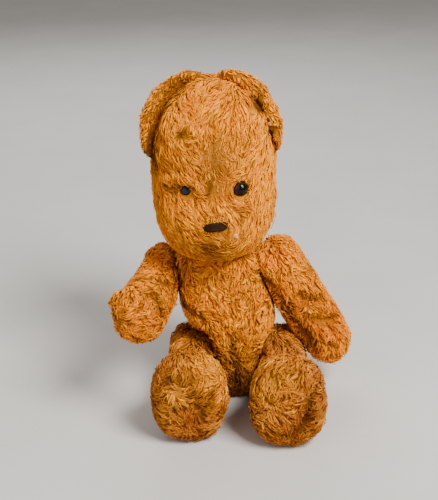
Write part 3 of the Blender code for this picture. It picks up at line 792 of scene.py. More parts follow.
def lock_faces(steps):
    """Triangles of one lock, and the UVs of their corners."""
    faces, uvs = [], []
    for j, k in product(range(steps), range(LOCK_SIDES)):
        a, b = j * LOCK_SIDES + k, j * LOCK_SIDES + (k + 1) % LOCK_SIDES
        u0, u1, v0, v1 = k / LOCK_SIDES, (k + 1) / LOCK_SIDES, j / steps, (j + 1) / steps
        if j == steps - 1:
            faces.append((a, b, steps * LOCK_SIDES))
            uvs += [(u0, v0), (u1, v0), ((k + 0.5) / LOCK_SIDES, 1.0)]
        else:
            faces += [(a, b, b + LOCK_SIDES), (a, b + LOCK_SIDES, a + LOCK_SIDES)]
            uvs += [(u0, v0), (u1, v0), (u1, v1), (u0, v0), (u1, v1), (u0, v1)]
    faces.append((2, 1, 0))
    uvs += [(0.9, 0.0), (0.5, 0.0), (0.1, 0.0)]
    return np.array(faces), np.array(uvs)


def lock_colours(colours, tight, tone, hue, ramp, rng):
    """Every point's colour: painted shade in crevices and at roots, a tone and hue to each lock, lighter tips."""
    count = len(colours)
    # painted shade where another part lies close
    colours = colours * (CREVICE_PAINTED_SHADE * (1 - tight[:, None]) + tight[:, None])
    shade = np.exp(rng.normal(0, SPREAD["tone"], count)) * tone
    colours = colours * shade[:, None] ** WARM
    hue = hue + rng.normal(0, SPREAD["hue"], count)
    for low, high, colour, share in HUES:
        weight = smooth(hue, low, high)[:, None] * share
        strong = np.array(colour) * weight * colours.mean(axis=1, keepdims=True) * HUE_STRENGTH
        colours = colours * (1 - weight) + strong
    along = np.append(np.repeat(ramp[:-1], LOCK_SIDES), ramp[-1])
    return (colours[:, None, :] * along[None, :, None] ** WARM).reshape(-1, 3)


def set_lock_uvs(mesh, corners, width, length, start):
    """Streaks along each lock, and a place of its own in the OFBake UV map."""
    count = len(width)
    size = np.stack((width / MM * STREAKS[0], length / MM * STREAKS[1]), axis=1)
    strand = corners[None] * size[:, None, :] + np.stack((start, start * STREAK_SLANT), axis=1)[:, None, :]
    set_uv(mesh, "strand", strand)
    columns = math.ceil(math.sqrt(count / CELL_STRETCH))
    lines = math.ceil(count / columns)
    cell = np.stack((np.arange(count) % columns / columns, np.arange(count) // columns / lines), axis=1)
    inside = corners * CELL_SIZE + CELL_EDGE
    set_uv(mesh, "OFBake", cell[:, None, :] + inside[None] / (columns, lines))


def make_pile(name, skin, part, coat, tufts, others, seed):
    """One coat of a part's pile, as one object."""
    rng = np.random.default_rng(seed)
    roots, normals, count = scatter(skin, part, coat["density"], coat["shed"], rng)
    tree, steps, ovals = skin.tree(), coat["steps"], part.get("clear", ())
    tight = openness(others, roots, part)
    short = worn(roots, part, LENGTH_LEFT) * (CREVICE_LENGTH + OPEN_LENGTH * tight)
    length, width, lift, layer = lock_sizes(roots, part, coat, short, rng)
    room = headroom(others, roots, normals) * ROOM_USED
    squeeze = np.clip(room / (lift + layer + LOCK_ROOM), LEAST_SQUEEZE, 1.0)
    lift, layer = lift * squeeze, layer * squeeze

    way = comb_way(roots, normals, part, coat, rng.normal(0, SPREAD["turn"], count))
    curl = curls(roots, part, rng.normal(0, SPREAD["curl"], count)) * coat["curl"]
    for oval in ovals:
        length = np.minimum(length, room_ahead(roots, way, *oval))
    surface, up = trace(tree, roots, normals, way, length, curl, steps)
    own = np.array([tufts["tree"].find(p)[1] for p in roots.tolist()])
    starts, their_normals, their_curl = (tufts[key][own] for key in ("roots", "normals", "curl"))
    their_way = comb_way(tufts["roots"], tufts["normals"], part, coat, tufts["stray"])[own]
    middle, _ = trace(tree, starts, their_normals, their_way, length, their_curl, steps)
    pull = coat["pull"] * np.linspace(0, 1, steps + 1) ** PULL_POWER
    surface = surface + (middle - surface) * pull[None, :, None]

    off = np.linalg.norm(roots - starts, axis=1)
    crown = np.exp(-((off / CROWN_REACH) ** 2)) * CROWN_HEIGHT * short * squeeze
    stray = (rng.uniform(0, 1, count) < STRAYS) * lift * STRAY_HEIGHT
    path = raised(surface, up, layer, lift, crown, stray)
    open_ovals(path, ovals, rng.uniform(*RAGGED, (count, 1, 1)))
    low = ABOVE_FLOOR + rng.uniform(0, ABOVE_FLOOR_SPREAD, (count, 1))
    path[:, :, 2] = np.maximum(path[:, :, 2], low)
    verts = lock_verts(path, up, width, coat)
    one, corners = lock_faces(steps)
    faces = one[None] + (np.arange(count) * verts.shape[1])[:, None, None]
    colours = coloured(surface[:, steps // 2], normals, part) * coat["tone"]
    colours = lock_colours(colours, tight, tufts["tone"][own], tufts["hue"][own], coat["ramp"], rng)
    obj = mesh_object(name, verts.reshape(-1, 3), faces.reshape(-1, 3), PILE, part["rides"])
    set_tint(obj.data, np.maximum(colours, DARKEST))
    set_lock_uvs(obj.data, corners, width, length, rng.uniform(0, STREAK_STARTS, count))


# --- The parts ---

# Each part has a spine and a cap radius, which rays are cast from; a grid of rings and segments; the way along
# which its pile lies; its colours; and its pile's length, lift and depth. Then, by place or path and radius:
#   joints   a joint and the radius of the flat that it clamps
#   whorls   ... and pull towards the middle
#   stains_and_painted_light  ... colour and strength: real stains, and painted light and shade
#   wear     ... share of the locks that is gone, and share of the length
#   creases  ... and depth: a groove between two ridges, worn and with painted shade in it
#   folds    ... and height: a ridge or a lump, or a hollow
#   stand    ... and how far the pile there stands up
OPEN_EAR_FOLD = ((-41, -1, 243), (-44, -2, 240), (-48, -5, 236), (-53, -9, 230), (-57, -12, 223),
                 (-60, -14, 215), (-62, -15, 206), (-63, -17, 198), (-62, -18, 192))
EAR_HOLE = ((11, -15, 234), (16, -17, 228))
EAR_NOTCH = ((20, -19, 219), (24, -21, 214), (26, -17, 208))
EAR_OPENINGS = ((np.array((13.5, -17, 230.5)) * MM, 4.6, 3.7), (np.array((24, -20, 213)) * MM, 2.2, 3.4))
CENTRE_SEAM = ((-17, -35, 222), (-17, -41, 210), (-17, -45, 197), (-16, -46, 184))
DOT = (-40, -37, 215)  # the dark middle of the whorl on the forehead
PUCKER = ((-21.5, -47, 181), (-21.3, -47.5, 177), (-22.5, -47.5, 173.5))
ARM = {
    "cap": 0.017, "grid": (68, 52), "ground": ORANGE, "other": GOLD, "slot": "mohair", "fill": 0.85,
    "length": (6, 10), "lift": (0.4, 1.5), "depth": 1.4, "mess": 1.0, "curl": 1.5, "blotch": 0.75,
}
LEG = {
    "cap": 0.021, "grid": (68, 68), "across": (1, 0, 0), "along": (0, -1, -0.4), "ground": LEG_BROWN,
    "other": GOLD, "slot": "brown_mohair", "fill": 0.9, "length": (7, 12), "lift": (0.5, 1.6), "depth": 1.6,
    "mess": 1.0, "curl": 1.5, "blotch": 0.75,
}
PARTS = {
    "body": {
        "rides": "torso", "spine": ((-0.001, 0.001, 0.034), (-0.014, 0.003, 0.092)), "cap": 0.03,
        "grid": (68, 104), "across": (1, 0, 0), "along": (0, 0.05, -1), "comb": BODY_COMB, "ground": GOLD,
        "drift": 0.38, "slot": "mohair", "fill": 0.9, "length": (6, 10), "lift": (0.4, 1.5), "depth": 1.5,
        "mess": 0.95, "curl": 1.7,
        "joints": (
            ("neck_swivel", 0.03), ("left_shoulder", 0.017), ("right_shoulder", 0.017), ("left_hip", 0.024),
            ("right_hip", 0.024),
        ),
        "stains_and_painted_light": (
            # darker towards the bottom of the belly and between the thighs: partly stains, partly painted shade
            ((-2, -40, 22), 26, BROWN, 0.9), ((-4, -34, 6), 20, DARK, 0.8), ((-3, -42, 28), 15, DARK, 0.4),
            ((-14, -30, 96), 16, BROWN, 0.4),
        ),
        "wear": (((10, -36, 84), 8, 0.3, 0.4),),
        "creases": (
            (((-4, -41, 58), (-3, -43, 40), (-1, -42, 16)), 1.6, 0.5),
            (((-40, -20, 80), (-34, -29, 74), (-26, -33, 71)), 1.6, 0.6),
        ),
        "folds": (((-20, -30, 84), 9, 1.2), ((4, -38, 62), 12, 1.3), ((-24, -34, 62), 8, -0.9)),
        "stand": (((23, -24, 68), 12, 1.6), ((20, -22, 56), 10, 1.2)),
    },
    "head": {
        "rides": "head", "spine": ((-0.018, -0.003, 0.163), (-0.017, 0.003, 0.204)), "cap": 0.042,
        "grid": (112, 150), "across": (1, 0, 0), "along": (0, 0.15, -1), "comb": HEAD_COMB, "ground": GOLD,
        "drift": 0.25, "slot": "mohair", "fill": 0.95, "length": (8, 13), "lift": (0.3, 1.2), "depth": 1.2,
        "mess": 0.55, "curl": 0.65, "hugs": "left_ear",
        "joints": (("neck_swivel", 0.034),),
        "whorls": ((DOT, 9, 0.5), ((4, -8, 240), 8, 0.2), ((3, -46, 169), 6, 0.0)),
        "stains_and_painted_light": (
            # painted light on the lit side of the head
            ((10, -34, 200), 30, PAINTED_LIGHT, 0.6), ((12, -42, 168), 20, PAINTED_LIGHT, 0.6),
            # painted shade in the groove beside the open ear and in the rolled ear's hole and notch; the russet
            # is partly the cloth's own
            (OPEN_EAR_FOLD, 8.5, RUSSET, 0.55), (OPEN_EAR_FOLD, 5.6, DARK, 0.95), (EAR_HOLE, 4.2, DARK, 0.97),
            (EAR_HOLE, 4.0, DARK, 1.0), (EAR_NOTCH, 2.0, DARK, 0.9), ((-17, -44, 195), 20, WORN, 0.65),
            ((-15, -48, 178), 9, ORANGE, 0.85), (CENTRE_SEAM, 1.6, DARK, 0.75),
            # painted shade in the pucker's creases, in the hollow beside it and under the brow fold; a painted
            # highlight under the glossy eye
            ((-20, -54, 136), 15, TAN, 0.35), ((-23, -46, 187), 12, BROWN, 0.5), (PUCKER, 1.6, DARK, 0.85),
            ((-26, -46.5, 177.5), 4.0, PALE, 0.45), ((-31.5, -45, 177), 2.0, DARK, 0.6),
            ((-2, -52, 150), 10, TAN, 0.3), ((2, -47, 167), 6, PALE, 0.6), ((-45, -39, 173), 2.6, DARK, 0.6),
            ((-2, -45, 181.5), 1.2, DARK, 0.5),
            (((-46, -34, 218), (-43, -35, 221), (-38, -37, 221)), 1.8, PALE, 0.7),
            (DOT, 3.0, DARK, 0.95), (DOT, 2.4, DARK, 1.0),
            # the chin is partly stained and partly painted shade under the muzzle
            ((-20, -48, 131), 18, BROWN, 0.8), ((-19, -52, 136), 15, DARK, 0.6),
        ),
        "wear": (
            ((-15, -42, 200), 20, 0.2, 0.84), ((-16, -48, 180), 8, 0.75, 0.85), (OPEN_EAR_FOLD, 4.4, 0.7, 0.92),
            (EAR_HOLE, 3.2, 0.8, 0.9), (CENTRE_SEAM, 2.0, 0.9, 0.9), (PUCKER, 1.2, 0.8, 0.6),
            ((-26, -46.5, 177), 4.0, 0.3, 0.6), ((-17, -56, 158), 12, 0.1, 0.5), ((2, -44, 176), 6.5, 0.6, 0.9),
            ((-39, -44, 175), 5.0, 0.5, 0.8), (DOT, 2.2, 0.9, 0.8),
        ),
        "creases": (
            (PUCKER, 1.6, 0.9),
            (((-50, -34, 177), (-46, -38, 178.5), (-40, -42, 180), (-33, -44, 179.5)), 1.3, 0.6),
            (((3, -48, 163), (2, -50, 158), (2, -51, 155)), 1.2, 0.6),
        ),
        "folds": (
            (OPEN_EAR_FOLD, 3.8, -2.5), (EAR_HOLE, 3.2, -2.6), (EAR_NOTCH, 2.2, -1.4), (CENTRE_SEAM, 1.8, -1.4),
            ((-17, -45, 180), 6, -1.0), ((-26, -46.5, 177), 4.2, 2.8), ((-31.5, -45, 177), 1.8, -1.4),
            (((-50, -35, 182), (-42, -41, 184), (-33, -45, 183)), 3.0, 2.4), ((3, -46, 169), 5, 1.2),
            ((-17, -55, 160), 9, 0.8),
        ),
        "stand": (
            ((27, -7, 165), 4.5, 3.0), ((26, -7, 148), 4.5, 2.6), ((-17, -50, 130), 14, 0.5),
            ((-60, -6, 186), 5, 0.8),
        ),
    },
    "left_arm": {
        **ARM, "rides": "left_arm", "spine": ((0.034, -0.001, 0.1), (0.066, -0.009, 0.05)),
        "across": (0, -1, 0), "along": (0.45, -0.15, -1), "drift": 0.9,
        "joints": (("left_shoulder", 0.017),),
        "stains_and_painted_light": (
            # painted highlights on the upper arm and the paw
            ((38, -12, 108), 17, PAINTED_HIGHLIGHT, 0.35), ((56, -22, 70), 12, RUSSET, 0.5), ((76, -20, 52), 15, RED, 0.75),
            ((60, -26, 44), 8, BROWN, 0.5), ((80, -18, 44), 9, PAINTED_HIGHLIGHT, 0.3), ((72, -30, 34), 5, DARK, 0.7),
        ),
        "wear": (((60, -24, 70), 8, 0.35, 0.5), ((72, -30, 34), 4, 0.4, 0.6)),
        "creases": (
            (((25, -13, 97), (34, -21, 78), (47, -27, 58), (60, -31, 42)), 2.4, 1.3),
            (((46, -22, 86), (53, -22, 81), (62, -16, 80)), 1.5, 0.8),
            (((56, -25, 66), (66, -22, 63), (74, -15, 62)), 1.5, 0.8),
            (((64, -30, 50), (70, -29, 46), (75, -25, 44)), 1.3, 0.7),
        ),
        "folds": (((68, -28, 54), 6, 1.4), ((52, -24, 72), 7, 0.9)),
        "stand": (((37, -20, 68), 10, 1.4), ((72, -28, 30), 6, 1.5), ((84, -14, 52), 6, 0.8)),
    },
    "right_arm": {
        **ARM, "rides": "right_arm", "spine": ((-0.059, 0.0, 0.091), (-0.07, -0.066, 0.086)),
        "across": (0, 0, 1), "along": (-0.35, -1, -0.15), "drift": 0.6,
        "joints": (("right_shoulder", 0.017),),
        "stains_and_painted_light": (
            (((-90, -72, 106), (-88, -77, 100), (-83, -80, 93)), 7.5, DARK, 0.95),
            # painted light on the upper arm, and painted highlights on the paw
            ((-55, -12, 108), 20, PAINTED_LIGHT, 0.9), ((-50, -22, 98), 9, RED, 0.2),
            ((-70, -72, 88), 16, BROWN, 0.35), ((-77, -68, 105), 10, PAINTED_HIGHLIGHT, 0.45),
            ((-62, -60, 102), 8.5, PAINTED_HIGHLIGHT, 0.4), ((-66, -78, 86), 11, RUSSET, 0.6),
        ),
        "wear": (((-60, -48, 104), 7, 0.2, 0.4),),
        "creases": (
            (((-76, -48, 106), (-68, -50, 108), (-60, -46, 106), (-52, -40, 102)), 2.4, 1.4),
            (((-50, -22, 98), (-52, -36, 92), (-56, -50, 84)), 1.6, 0.8),
            (((-66, -66, 100), (-60, -70, 92)), 1.4, 0.7),
        ),
        "folds": (
            ((-64, -38, 108), 6, 1.6), ((-64, -58, 105), 7, 1.6), ((-86, -70, 101), 7.0, 5.0),
            ((-70, -78, 84), 7, 1.0),
        ),
        "stand": (((-80, -60, 106), 6, 0.8),),
    },
    "left_leg": {
        **LEG, "rides": "left_leg", "spine": ((0.034, -0.012, 0.026), (0.036, -0.08, 0.034)), "drift": 0.55,
        "joints": (("left_hip", 0.019),),
        "whorls": (((30, -112, 46), 14, 0.1), ((50, -111, 30), 10, 0.0)),
        "stains_and_painted_light": (
            # painted shade in the groove where the belly hangs over the thigh
            (((14, -62, 58), (34, -66, 66), (54, -62, 58)), 9.0, DARK, 0.3), ((36, -70, 62), 26, BROWN, 0.45),
            # painted highlight on the top of the foot
            ((34, -110, 40), 26, ORANGE, 0.4), ((24, -108, 56), 15, PAINTED_HIGHLIGHT, 0.45),
            ((20, -108, 34), 10, TAN, 0.6), ((49, -113, 34), 9, DARK, 0.85), ((38, -112, 22), 18, RUSSET, 0.8),
        ),
        "wear": (((26, -108, 62), 8, 0.3, 0.4),),
        "creases": (
            (((52, -109, 50), (50, -112, 40), (48, -113, 30), (42, -112, 22)), 2.2, 1.4),
            (((28, -112, 20), (36, -112, 17), (46, -112, 19)), 1.5, 0.7),
        ),
        "folds": (
            (((14, -62, 56), (34, -66, 66), (54, -62, 56)), 6.0, -1.0), ((28, -110, 56), 10, 1.8),
            ((26, -112, 30), 9, 1.6), (((23, -108, 62), (26, -111, 46)), 2.4, 1.6),
        ),
        "stand": (((60, -100, 30), 8, 1.0), ((20, -104, 62), 8, 0.8)),
    },
    "right_leg": {
        **LEG, "rides": "right_leg", "spine": ((-0.034, -0.005, 0.026), (-0.036, -0.073, 0.034)), "drift": 0.45,
        "joints": (("right_hip", 0.019),),
        "whorls": (((-43, -105, 47), 14, 0.05), ((-26, -106, 30), 10, 0.0)),
        "stains_and_painted_light": (
            # painted shade in the groove where the belly hangs over the thigh
            (((-14, -56, 58), (-34, -60, 66), (-54, -56, 58)), 9.0, DARK, 0.3),
            ((-36, -66, 62), 26, BROWN, 0.45), ((-34, -104, 40), 24, ORANGE, 0.25),
            # painted highlights: the shine of the bald patch and of the whorl
            ((-21, -94, 60), 12, PAINTED_HIGHLIGHT, 1.0), ((-18, -90, 64), 8, PAINTED_HIGHLIGHT, 1.0), ((-43, -105, 45), 8, PAINTED_HIGHLIGHT, 0.8),
            ((-30, -104, 24), 17, RUSSET, 0.8), ((-24, -104, 36), 9, BROWN, 0.5),
            ((-50, -100, 26), 8, GOLD, 0.4),
        ),
        "wear": (((-21, -94, 60), 10, 0.3, 0.85),),
        "creases": (
            (((-52, -102, 54), (-44, -105, 58), (-35, -105, 54), (-31, -105, 46), (-27, -104, 36),
              (-27, -104, 26)), 2.2, 1.4),
            (((-52, -104, 40), (-47, -105, 36), (-40, -106, 37)), 1.5, 0.8),
            (((-20, -104, 46), (-18, -104, 38), (-20, -104, 30)), 1.4, 0.9),
        ),
        "folds": (
            (((-14, -56, 56), (-34, -60, 66), (-54, -56, 56)), 6.0, -1.0), ((-34, -106, 28), 10, 1.4),
            ((-43, -105, 45), 7, 1.6), ((-48, -100, 62), 7, 1.2), ((-11, -98, 36), 5, 4.0),
        ),
        "stand": (((-12, -98, 38), 5, 1.8), ((-60, -94, 36), 8, 1.0)),
    },
}
# Ovals of the face that no pile covers: middle, half width and half height
PARTS["head"]["clear"] = (
    (middle_of("left_eye"), 5.2, 5.2), (middle_of("right_eye") + (0.0002, 0, -0.0004), 3.5, 4.3),
    (middle_of("nose") - (0, 0, 0.0006), 9.8, 4.1), *EAR_OPENINGS,
)
EAR = {
    "rides": "head", "ground": GOLD, "other": ORANGE, "slot": "mohair", "fill": 0.3, "length": (4, 7),
    "lift": (0.3, 1.0), "depth": 0.9, "mess": 0.9, "curl": 0.9, "broad": 0.8,
}
EARS = {
    "left_ear": {
        **EAR, "along": (0.5, -0.2, -1), "drift": 0.4, "hugs": "head", "clear": EAR_OPENINGS,
        "stains_and_painted_light": (
            # painted shade in the ear's hole, its notch and the grooves of its gathers
            (EAR_HOLE, 3.8, DARK, 0.97), (EAR_HOLE, 2.6, DARK, 1.0), (EAR_NOTCH, 2.4, DARK, 0.85),
            (EAR_NOTCH, 1.8, DARK, 0.9), (((24, -21, 216), (29, -18, 214)), 1.3, DARK, 0.8),
            (((8, -12, 242), (13, -9, 245)), 0.9, DARK, 0.6),
            (((13, -14, 236), (19, -10, 239)), 1.0, DARK, 0.6),
        ),
        "wear": ((EAR_HOLE, 3.2, 0.8, 0.9), (EAR_NOTCH, 2.0, 0.5, 0.8), ((30, -14, 203), 8, 0.0, 0.6)),
        "folds": (
            (EAR_HOLE, 3.0, -2.0), (EAR_NOTCH, 2.0, -1.4), (((24, -21, 216), (30, -18, 214)), 1.6, -1.4),
            (((8, -12, 242), (14, -8, 246)), 1.5, -1.0), (((13, -14, 236), (20, -9, 240)), 1.6, -1.1),
            (((17, -16, 229), (25, -11, 231)), 1.5, -1.0), ((30, -14, 203), 7, -1.9),
        ),
    },
    "right_ear": {
        **EAR, "along": (-0.4, -0.1, -1), "drift": 0.5,
        # painted shade in the groove of the fold, and painted light on the rim
        "stains_and_painted_light": ((OPEN_EAR_FOLD, 6.0, DARK, 0.97), (((-36, -1, 250), (-30, 0, 250)), 4, PAINTED_LIGHT, 0.8)),
        "wear": ((OPEN_EAR_FOLD, 4.4, 0.5, 0.9),),
        "folds": (
            (OPEN_EAR_FOLD, 4.2, -3.0), (((-36, -1, 250), (-30, 0, 250)), 3.5, 2.2), ((-64, -4, 238), 5, 2.6),
            ((-66, -8, 222), 8, 0.8),
        ),
    },
}
EYES = {"left_eye": 0.0058, "right_eye": 0.0044}  # how far out each shows
EYE_PATCH, EYE_RING = 0.0082, 0.0150  # the part of the face that is closed up, and what it is fitted to
FACE_DEPTH, EYE_STEP, EYE_SKIN_GAP = 0.03, 0.0016, 0.0007
SMALL_STAIN_AND_SHADE = 8.0  # millimetres
PATH_STEP = 2.0  # millimetres
SKIN_GAP, LENS_GAP = 0.0006, 0.0004  # of the backing outside its stuffing, and behind a lens
STUFFING_REACH = 0.012
EAR_GRAIN, EAR_SWELL = 0.0013, 0.3 * MM
SKIN_HEIGHT = 0.0003  # of the lowest cloth above the floor
SKIN_SHADE, OPEN_SHADE, EAR_SHADE = 0.25, 0.45, 0.45  # painted shade of the backing under the pile: its share in a crevice, what the open adds, the ears' share
PIN_HOLE, PIN_LENGTH = 0.0035, 0.02
CLAMPED, CLAMP_EDGE = (0.0025, 0.0070), 0.006  # where a joint's hold on the cloth ends, along and across
CREASE_FOLDS = ((2.4, 1.1), (1.0, -2.1))  # its two ridges and its groove, by its own width and depth
CREASE_WEAR, CREASE_PAINTED_SHADE = 1.4, 1.8  # by its own width; a crease is darkened with painted shade


def close_eye_hole(skin, eye, opening):
    """Carries the face up to an eye and behind it, on a surface fitted to the face round it."""
    gap = skin.verts - middle_of(eye)
    off = np.hypot(gap[:, 0], gap[:, 2])
    front = np.abs(gap[:, 1]) < FACE_DEPTH
    ring = front & (off > EYE_PATCH) & (off < EYE_RING)
    patch = front & (off <= EYE_PATCH)

    def terms(rows):
        x, z = rows[:, 0] / MM, rows[:, 2] / MM
        return np.stack((np.ones(len(x)), x, z, x * x, x * z, z * z), axis=1)

    fit = np.linalg.lstsq(terms(gap[ring]), skin.verts[ring, 1], rcond=None)[0]
    stuffing, lens = cad_tree("head_stuffing"), cad_tree(eye)
    steps = (-EYE_STEP, 0, EYE_STEP)
    for i, y, r in zip(np.nonzero(patch)[0], terms(gap[patch]) @ fit, off[patch]):
        x, _, z = skin.verts[i]
        hits = [from_front(stuffing, x + dx, z + dz) for dx, dz in product(steps, steps)]
        ahead = min([y] + [hit.y - EYE_SKIN_GAP for hit in hits if hit is not None])
        glass = from_front(lens, x, z)
        skin.verts[i, 1] = glass.y + LENS_GAP if glass is not None and r < opening else ahead


def pin_hole(points, name):
    """Points that a joint pin's hole has let through the cover."""
    along, off, _ = from_joint(points, name)
    return (off < PIN_HOLE) & (np.abs(along) < PIN_LENGTH)


def free_to_move(points, joints):
    """0 on the flats that a joint clamps together, 1 away from them."""
    weight = np.ones(len(points))
    for name, reach in joints:
        along, off, _ = from_joint(points, name)
        beside = 1 - smooth(np.abs(along), *CLAMPED)
        weight *= 1 - beside * (1 - smooth(off, reach, reach + CLAMP_EDGE))
    return weight


def laid(tree, place):
    """A point or a path in millimetres, put on the surface."""
    path = np.array(place, float).reshape(-1, 3)
    if len(path) > 1:
        ends = list(zip(path[:-1], path[1:]))
        counts = [max(1, int(np.linalg.norm(b - a) / PATH_STEP)) for a, b in ends]
        path = np.vstack((*(np.linspace(a, b, n, endpoint=False) for (a, b), n in zip(ends, counts)), path[-1:]))
    return onto(tree, path * MM)[0] / MM


def settle(skin, part):
    """Lays small marks on the skin, and creases: worn grooves between two ridges, with painted shade in them."""
    tree, stains_and_painted_light = skin.tree(), []
    for place, radius, *rest in part["stains_and_painted_light"]:
        stains_and_painted_light.append((laid(tree, place) if radius < SMALL_STAIN_AND_SHADE else place, radius, *rest))
    for place, width, depth in part["creases"]:
        path = laid(tree, place)
        part["folds"] += tuple((path, width * wide, depth * high) for wide, high in CREASE_FOLDS)
        part["wear"] += ((path, width * CREASE_WEAR, 0.60, 0.85),)
        # painted shade in the crease's groove
        stains_and_painted_light.append((path, width * CREASE_PAINTED_SHADE, DARK, 0.90))
    part["stains_and_painted_light"] = stains_and_painted_light


def sculpt(skin, part, free):
    """Presses creases in and raises ridges and lumps."""
    for place, width, height in part["folds"]:
        skin.push(near(skin.verts, place, width) * height * MM * free)


def clear_of_stuffing(skin, node):
    """Keeps the backing outside what it holds."""
    tree = cad_tree(node)
    for i, v in enumerate(skin.verts):
        point, normal, _, _ = tree.find_nearest(v, STUFFING_REACH)
        if point is not None and (Vector(v) - point).dot(normal) < SKIN_GAP:
            skin.verts[i] = point + normal * SKIN_GAP


def cover_skin(name, part):
    rings, segments = part["grid"]
    skin = cast_skin(name + "_cover", *part["spine"], part["cap"], rings, segments, part["across"])
    for joint, _ in part["joints"]:
        skin.relax(pin_hole(skin.verts, joint), FILLING)
    if name == "head":
        for eye, opening in EYES.items():
            close_eye_hole(skin, eye, opening)
    free = free_to_move(skin.verts, part["joints"])
    skin.even(free[:, None], EVENING["cover"])
    skin.push(noise(skin.verts, "cover") * MM * free)
    settle(skin, part)
    sculpt(skin, part, free)
    clear_of_stuffing(skin, name + "_stuffing")
    skin.verts[:, 2] = np.maximum(skin.verts[:, 2], SKIN_HEIGHT)
    return skin


def ear_skin(name, part):
    """The CAD flap, softened."""
    skin = remeshed(name, EAR_GRAIN)
    skin.even(1.0, EVENING["ear"])
    skin.push(noise(skin.verts, "ear") * MM + EAR_SWELL)
    sculpt(skin, part, 1.0)
    return skin


def show_skin(name, skin, part, others):
    """The backing as an object, with painted shade: darker than its pile, and darker again near other parts."""
    obj = mesh_object(name + "_skin", skin.verts, skin.tris, SKIN, part["rides"])
    colours = coloured(skin.verts, skin.normals(), part)
    if name in PARTS:
        # painted shade on the backing, deeper in crevices
        colours = colours * (SKIN_SHADE + OPEN_SHADE * openness(others, skin.verts, part))[:, None]
        set_uv(obj.data, "OFBake", corner_uvs(skin))
    else:
        colours = colours * EAR_SHADE
    set_tint(obj.data, colours)
    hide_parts(name + "_cover" if name in PARTS else name)


SKINS = {name: cover_skin(name, part) for name, part in PARTS.items()}
SKINS.update({name: ear_skin(name, part) for name, part in EARS.items()})
TREES = {name: skin.tree() for name, skin in SKINS.items()}
for order, (name, part) in enumerate({**PARTS, **EARS}.items()):
    others = {key: tree for key, tree in TREES.items() if key != name}
    show_skin(name, SKINS[name], part, others)
    tufts = make_tufts(SKINS[name], part)
    for turn, (kind, coat) in enumerate(COATS.items()):
        make_pile(name + "_" + kind, SKINS[name], part, coat, tufts, others, 100 + 10 * order + turn)

# --- Eyes and nose ---

EYE_AHEAD = 0.8 * MM
RIM = (0.86, 0.95)  # the shares of an eye's radius between which its shine ends
BLACK_GLASS, BROWN_RING = np.array((0.004, 0.003, 0.003)), np.array((0.045, 0.013, 0.004))
DARK_GLASS, CLOUD = np.array((0.012, 0.011, 0.012)), np.array((0.032, 0.036, 0.050))
NOSE_GRAIN, NOSE_FILL, NOSE_SCALE = 0.0005, 0.2, (0.94, 1.0, 0.90)
NOSE_SQUARENESS = 3.4  # the power of the nose's outline; 2 would be an ellipse


def eye_axes(node):
    """The middle of an eye and the way that it looks, from its own shape, with its radius and half its depth."""
    points = np.array([NODES[node].matrix_world @ v.co for v in NODES[node].data.vertices])
    middle = middle_of(node)
    gap = points - middle
    ways = np.linalg.eigh(gap.T @ gap)[1]
    axis = ways[:, 0] * -np.sign(ways[1, 0])
    across = np.linalg.norm(gap - np.outer(gap @ axis, axis), axis=1).max()
    return middle, axis, across, np.abs(gap @ axis).max()


def make_eye(node, rings, segments, tint, grow):
    """A lens turned about its axis; tint gives a colour from the share of the way out to its rim."""
    middle, axis, across, depth = eye_axes(node)
    middle, across = middle + axis * EYE_AHEAD, across * grow
    side = unit(np.cross(axis, (0, 0, 1.0)))
    up = np.cross(side, axis)
    verts, colours = [], []
    for i in range(rings + 1):
        turn = math.pi * i / rings
        out, ahead = math.sin(turn), math.cos(turn) * abs(math.cos(turn))
        for k in range(segments if 0 < i < rings else 1):
            a = 2 * math.pi * k / segments
            ring = (side * math.cos(a) + up * math.sin(a)) * across * out
            verts.append(middle + ring + axis * depth * ahead)
            share = out if ahead > 0 else 1.0
            colours.append((*tint(share, a), 1 - smooth(share, *RIM)))
    obj = mesh_object(node + "_lens", verts, ball_tris(rings, segments), GLASS, "head")
    set_tint(obj.data, np.array(colours))
    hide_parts(node)


def clear_eye(out, turn):
    """Black, with a brown ring that the light catches."""
    ring = smooth(out, 0.68, 0.84) * (1 - smooth(out, 0.86, 0.94))
    return BLACK_GLASS * (1 - ring) + BROWN_RING * ring


def clouded_eye(out, turn):
    """Clouded and scratched in the middle, and dark round it."""
    cloud = 0.6 + 0.4 * math.sin(3 * turn + 1.0) * math.sin(9 * out)
    clear = smooth(out + 0.10 * math.cos(turn), 0.15, 0.55)
    return DARK_GLASS * clear + CLOUD * (1 - clear) * cloud


def make_nose():
    """The felt, worn thin at its edge, with a nap of its own and blunt ends."""
    skin = remeshed("nose", NOSE_GRAIN)
    middle = skin.verts.mean(axis=0)
    skin.even(1.0, EVENING["nose"])
    skin.verts = middle + (skin.verts - middle) * NOSE_SCALE
    out = np.abs(skin.verts - middle)[:, (0, 2)] / (np.ptp(skin.verts, axis=0)[[0, 2]] / 2)
    blunt = np.hypot(*out.T) / np.maximum((out**NOSE_SQUARENESS).sum(axis=1) ** (1 / NOSE_SQUARENESS), TINY)
    skin.verts = middle + (skin.verts - middle) * np.stack((blunt, np.ones(len(blunt)), blunt), axis=1)
    skin.push(noise(skin.verts, "nose") * MM)
    obj = mesh_object("nose_felt", skin.verts, skin.tris, FELT, "head")
    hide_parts("nose")


make_eye("left_eye", 20, 40, clear_eye, 1.06)
make_eye("right_eye", 16, 32, clouded_eye, 1.0)
make_nose()

# --- Threads ---

THREAD_SIDES, THREAD_ACROSS = 6, (0.31, -0.2, 0.93)  # any direction that no thread runs in
TAPER, POINT = 1.5, 0.12  # points over which a thread gets its full section, and the section at its end


